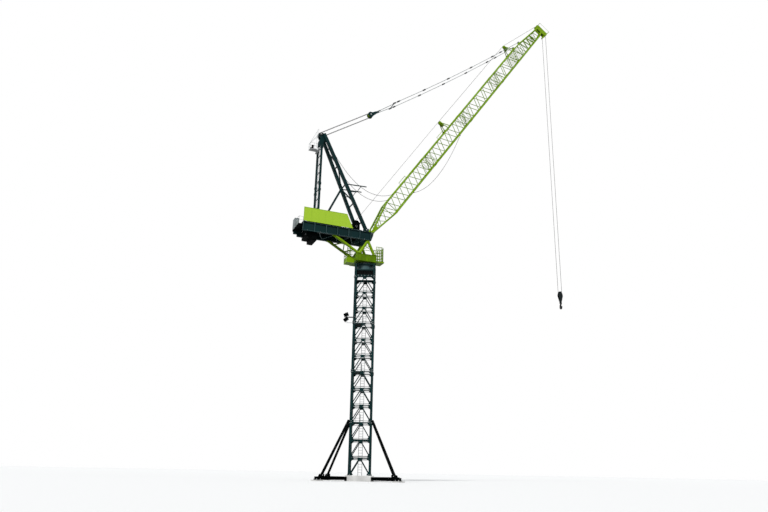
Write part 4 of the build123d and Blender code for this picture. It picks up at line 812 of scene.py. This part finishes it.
for at, t in NOSE_RAIL[1:3]:
    rails.tube(jib(at, t, -NOSE_HALF * 0.9), jib(at, t, NOSE_HALF * 0.9), 1.2, 6)
for t in (NOSE_UP, -NOSE_DOWN):
    for side in (-1, 1):
        boxes.tube(jib(NOSE, t, side * NOSE_HALF), jib(NOSE, t, side * (NOSE_HALF + 2.5)), 4.2, 6)
for count, first, run, height, lift in ROOT_RUNGS:
    for k in range(count):
        share = first + run * k / (count - 1)
        ends = [jib(share * ROOT, height * share + lift, side * root_half(share)) for side in (-1, 1)]
        bars.tube(*ends, 0.9, 6)
for side in (-1, 1):
    share = ROOT_COVER / ROOT
    foot = jib(ROOT_COVER, -JIB_DOWN * share, side * root_half(share))
    bars.tube(foot, jib(ROOT, -JIB_DOWN, side * JIB_HALF), 5.4, 8)
for near, far, low, high, half in HATCHES:
    for y in (-half, half):
        count = round((far - near) / HATCH_STEP)
        for k in range(count + 1):
            s = near + (far - near) * k / count
            bars.tube(jib(s, low, y), jib(s, high, y), 0.7, 6)
        for t in range(low, high + 1, HATCH_RAIL_STEP):
            bars.tube(jib(near, t, y), jib(far, t, y), 0.7, 6)
bars.make("jib_section_frames", "jib", "green_steel")
boxes.make("jib_fittings", "jib", "green_steel", bevel=0.5)
rails.make("jib_rails", "jib", "green_steel")
bolts.make("jib_pins", "jib", "grey_steel", IRON)

# Pendants: dark couplers with pins, and the nuts of the floating block's axle
links, pins = Build(), Build()
for side in (-1, 1):
    for place in COUPLERS + (PENDANT,):
        middle, after = [line_point(at, side * (JIB_HALF + (PENDANT_HALF - JIB_HALF) * at / PENDANT))
                         for at in (place, place + 1)]
        way = (after - middle).normalized()
        links.box(middle, (24, 8, 8), way, way.cross(Y))
        for step in (-8, 8):
            pins.tube(middle + way * step - Y * 5.4, middle + way * step + Y * 5.4, 1.6, 10)
    pins.tube(block + Y * side * 14.5, block + Y * side * 17, 5, 6)
links.make("pendant_couplers", "jib", "sheave", bevel=0.6)
pins.make("pendant_pins", "jib", "grey_steel", STEEL)

# Hook block: axle nuts, edge bolts, swivel collars and safety latch
nuts, latch = Build(), Build()
for side in (-1, 1):
    face = hook + Y * side * 8
    nuts.tube(face, face + Y * side * 2.6, 4.6, 6)
    for dx, dz in ((0, 16), (-12, -11), (12, -11), (0, -26), (0, -40)):
        nuts.bolt(face + Vector((dx, 0, dz)), Y * side, 1.5)
nuts.make("hook_block_nuts", "block", "grey_steel", IRON)
swivel = [value / MM for value in joints["hook_swivel"]["pos_m"]]
top = Vector(swivel)
for low in (3, 14):
    latch.tube(top - Z * low, top - Z * (low + 3), 8.7, 20)
mouth = Vector((-cos(HOOK_TURN), -sin(HOOK_TURN), 0))
latch.path([top + mouth * 4 - Z * 23, top + mouth * 10 - Z * 28, top + mouth * 12 - Z * 38.5], 1.1, 6)
latch.make("hook_latch", "hook", "grey_steel", IRON)

# Camera, floor and light, in metres and radians
DISTANCE, EYE, FLOOR_HALF = 3.756, 0.05, 40
VIEW, PITCH, PAN, ROLL = radians(20.93), 0.3267, 0.0301, -0.0192
right0 = Vector((cos(VIEW), -sin(VIEW), 0))
away = Vector((sin(VIEW), cos(VIEW), 0))
ahead = right0 * sin(PAN) + away * cos(PAN)
right = right0 * cos(PAN) - away * sin(PAN)
forward = ahead * cos(PITCH) + Z * sin(PITCH)
up = Z * cos(PITCH) - ahead * sin(PITCH)
right, up = right * cos(ROLL) - up * sin(ROLL), right * sin(ROLL) + up * cos(ROLL)
lens = bpy.data.cameras.new("camera")
lens.lens = 29.91
lens.sensor_width = 36
lens.clip_end = 200
camera = bpy.data.objects.new("camera", lens)
bpy.context.scene.collection.objects.link(camera)
turn = Matrix((right, up, -forward)).transposed().to_4x4()
camera.matrix_world = Matrix.Translation(away * -DISTANCE + Z * EYE) @ turn
bpy.context.scene.camera = camera


def seen_rays(tree):
    """One where a ray comes from the camera, a mirror or glass, and nought elsewhere."""
    rays = tree.nodes.new("ShaderNodeLightPath")
    shown = rays.outputs["Is Camera Ray"]
    for kind in ("Is Glossy Ray", "Is Transmission Ray"):
        either = tree.nodes.new("ShaderNodeMath")
        either.operation = "MAXIMUM"
        tree.links.new(shown, either.inputs[0])
        tree.links.new(rays.outputs[kind], either.inputs[1])
        shown = either.outputs["Value"]
    return shown


def mix_seen(tree, unseen, seen, output):
    """Joins two shaders, the second for rays that reach the picture straight away."""
    both = tree.nodes.new("ShaderNodeMixShader")
    tree.links.new(seen_rays(tree), both.inputs["Fac"])
    tree.links.new(unseen, both.inputs[1])
    tree.links.new(seen, both.inputs[2])
    tree.links.new(both.outputs["Shader"], tree.nodes[output].inputs["Surface"])


rim = [(x * FLOOR_HALF, y * FLOOR_HALF, 0) for x, y in ((-1, -1), (1, -1), (1, 1), (-1, 1))]
floor_mesh = bpy.data.meshes.new("floor")
floor_mesh.from_pydata(rim, [], [(0, 1, 2, 3)])
floor = bpy.data.objects.new("floor", floor_mesh)
bpy.context.scene.collection.objects.link(floor)
floor_look = bpy.data.materials.new("floor")
floor_look.use_nodes = True
tree = floor_look.node_tree
pale_floor = tree.nodes["Principled BSDF"]
pale_floor.inputs["Base Color"].default_value = (0.93, 0.93, 0.92, 1)
pale_floor.inputs["Roughness"].default_value = 0.9
quiet_floor = tree.nodes.new("ShaderNodeBsdfDiffuse")
quiet_floor.inputs["Color"].default_value = (0.22, 0.22, 0.22, 1)
mix_seen(tree, quiet_floor.outputs["BSDF"], pale_floor.outputs["BSDF"], "Material Output")
floor_mesh.materials.append(floor_look)

world = bpy.data.worlds.new("studio")
bpy.context.scene.world = world
world.use_nodes = True
tree = world.node_tree
soft = tree.nodes["Background"]
soft.inputs["Color"].default_value = (0.93, 0.96, 1.0, 1)
soft.inputs["Strength"].default_value = 0.45
white = tree.nodes.new("ShaderNodeBackground")
white.inputs["Color"].default_value = (1, 1, 1, 1)
mix_seen(tree, soft.outputs["Background"], white.outputs["Background"], "World Output")


def sun(name, strength, angle, towards):
    """A soft distant light that shines in one direction."""
    lamp = bpy.data.lights.new(name, "SUN")
    lamp.energy = strength
    lamp.angle = radians(angle)
    light = bpy.data.objects.new(name, lamp)
    light.rotation_euler = Vector(towards).to_track_quat("-Z", "Y").to_euler()
    bpy.context.scene.collection.objects.link(light)


sun("key", 2.5, 12, right0 * 0.35 + away * 0.75 - Z * 0.75)
sun("fill", 0.42, 40, right0 * -0.8 + away * 0.3 - Z * 0.3)

bpy.context.scene.view_settings.view_transform = "Standard"
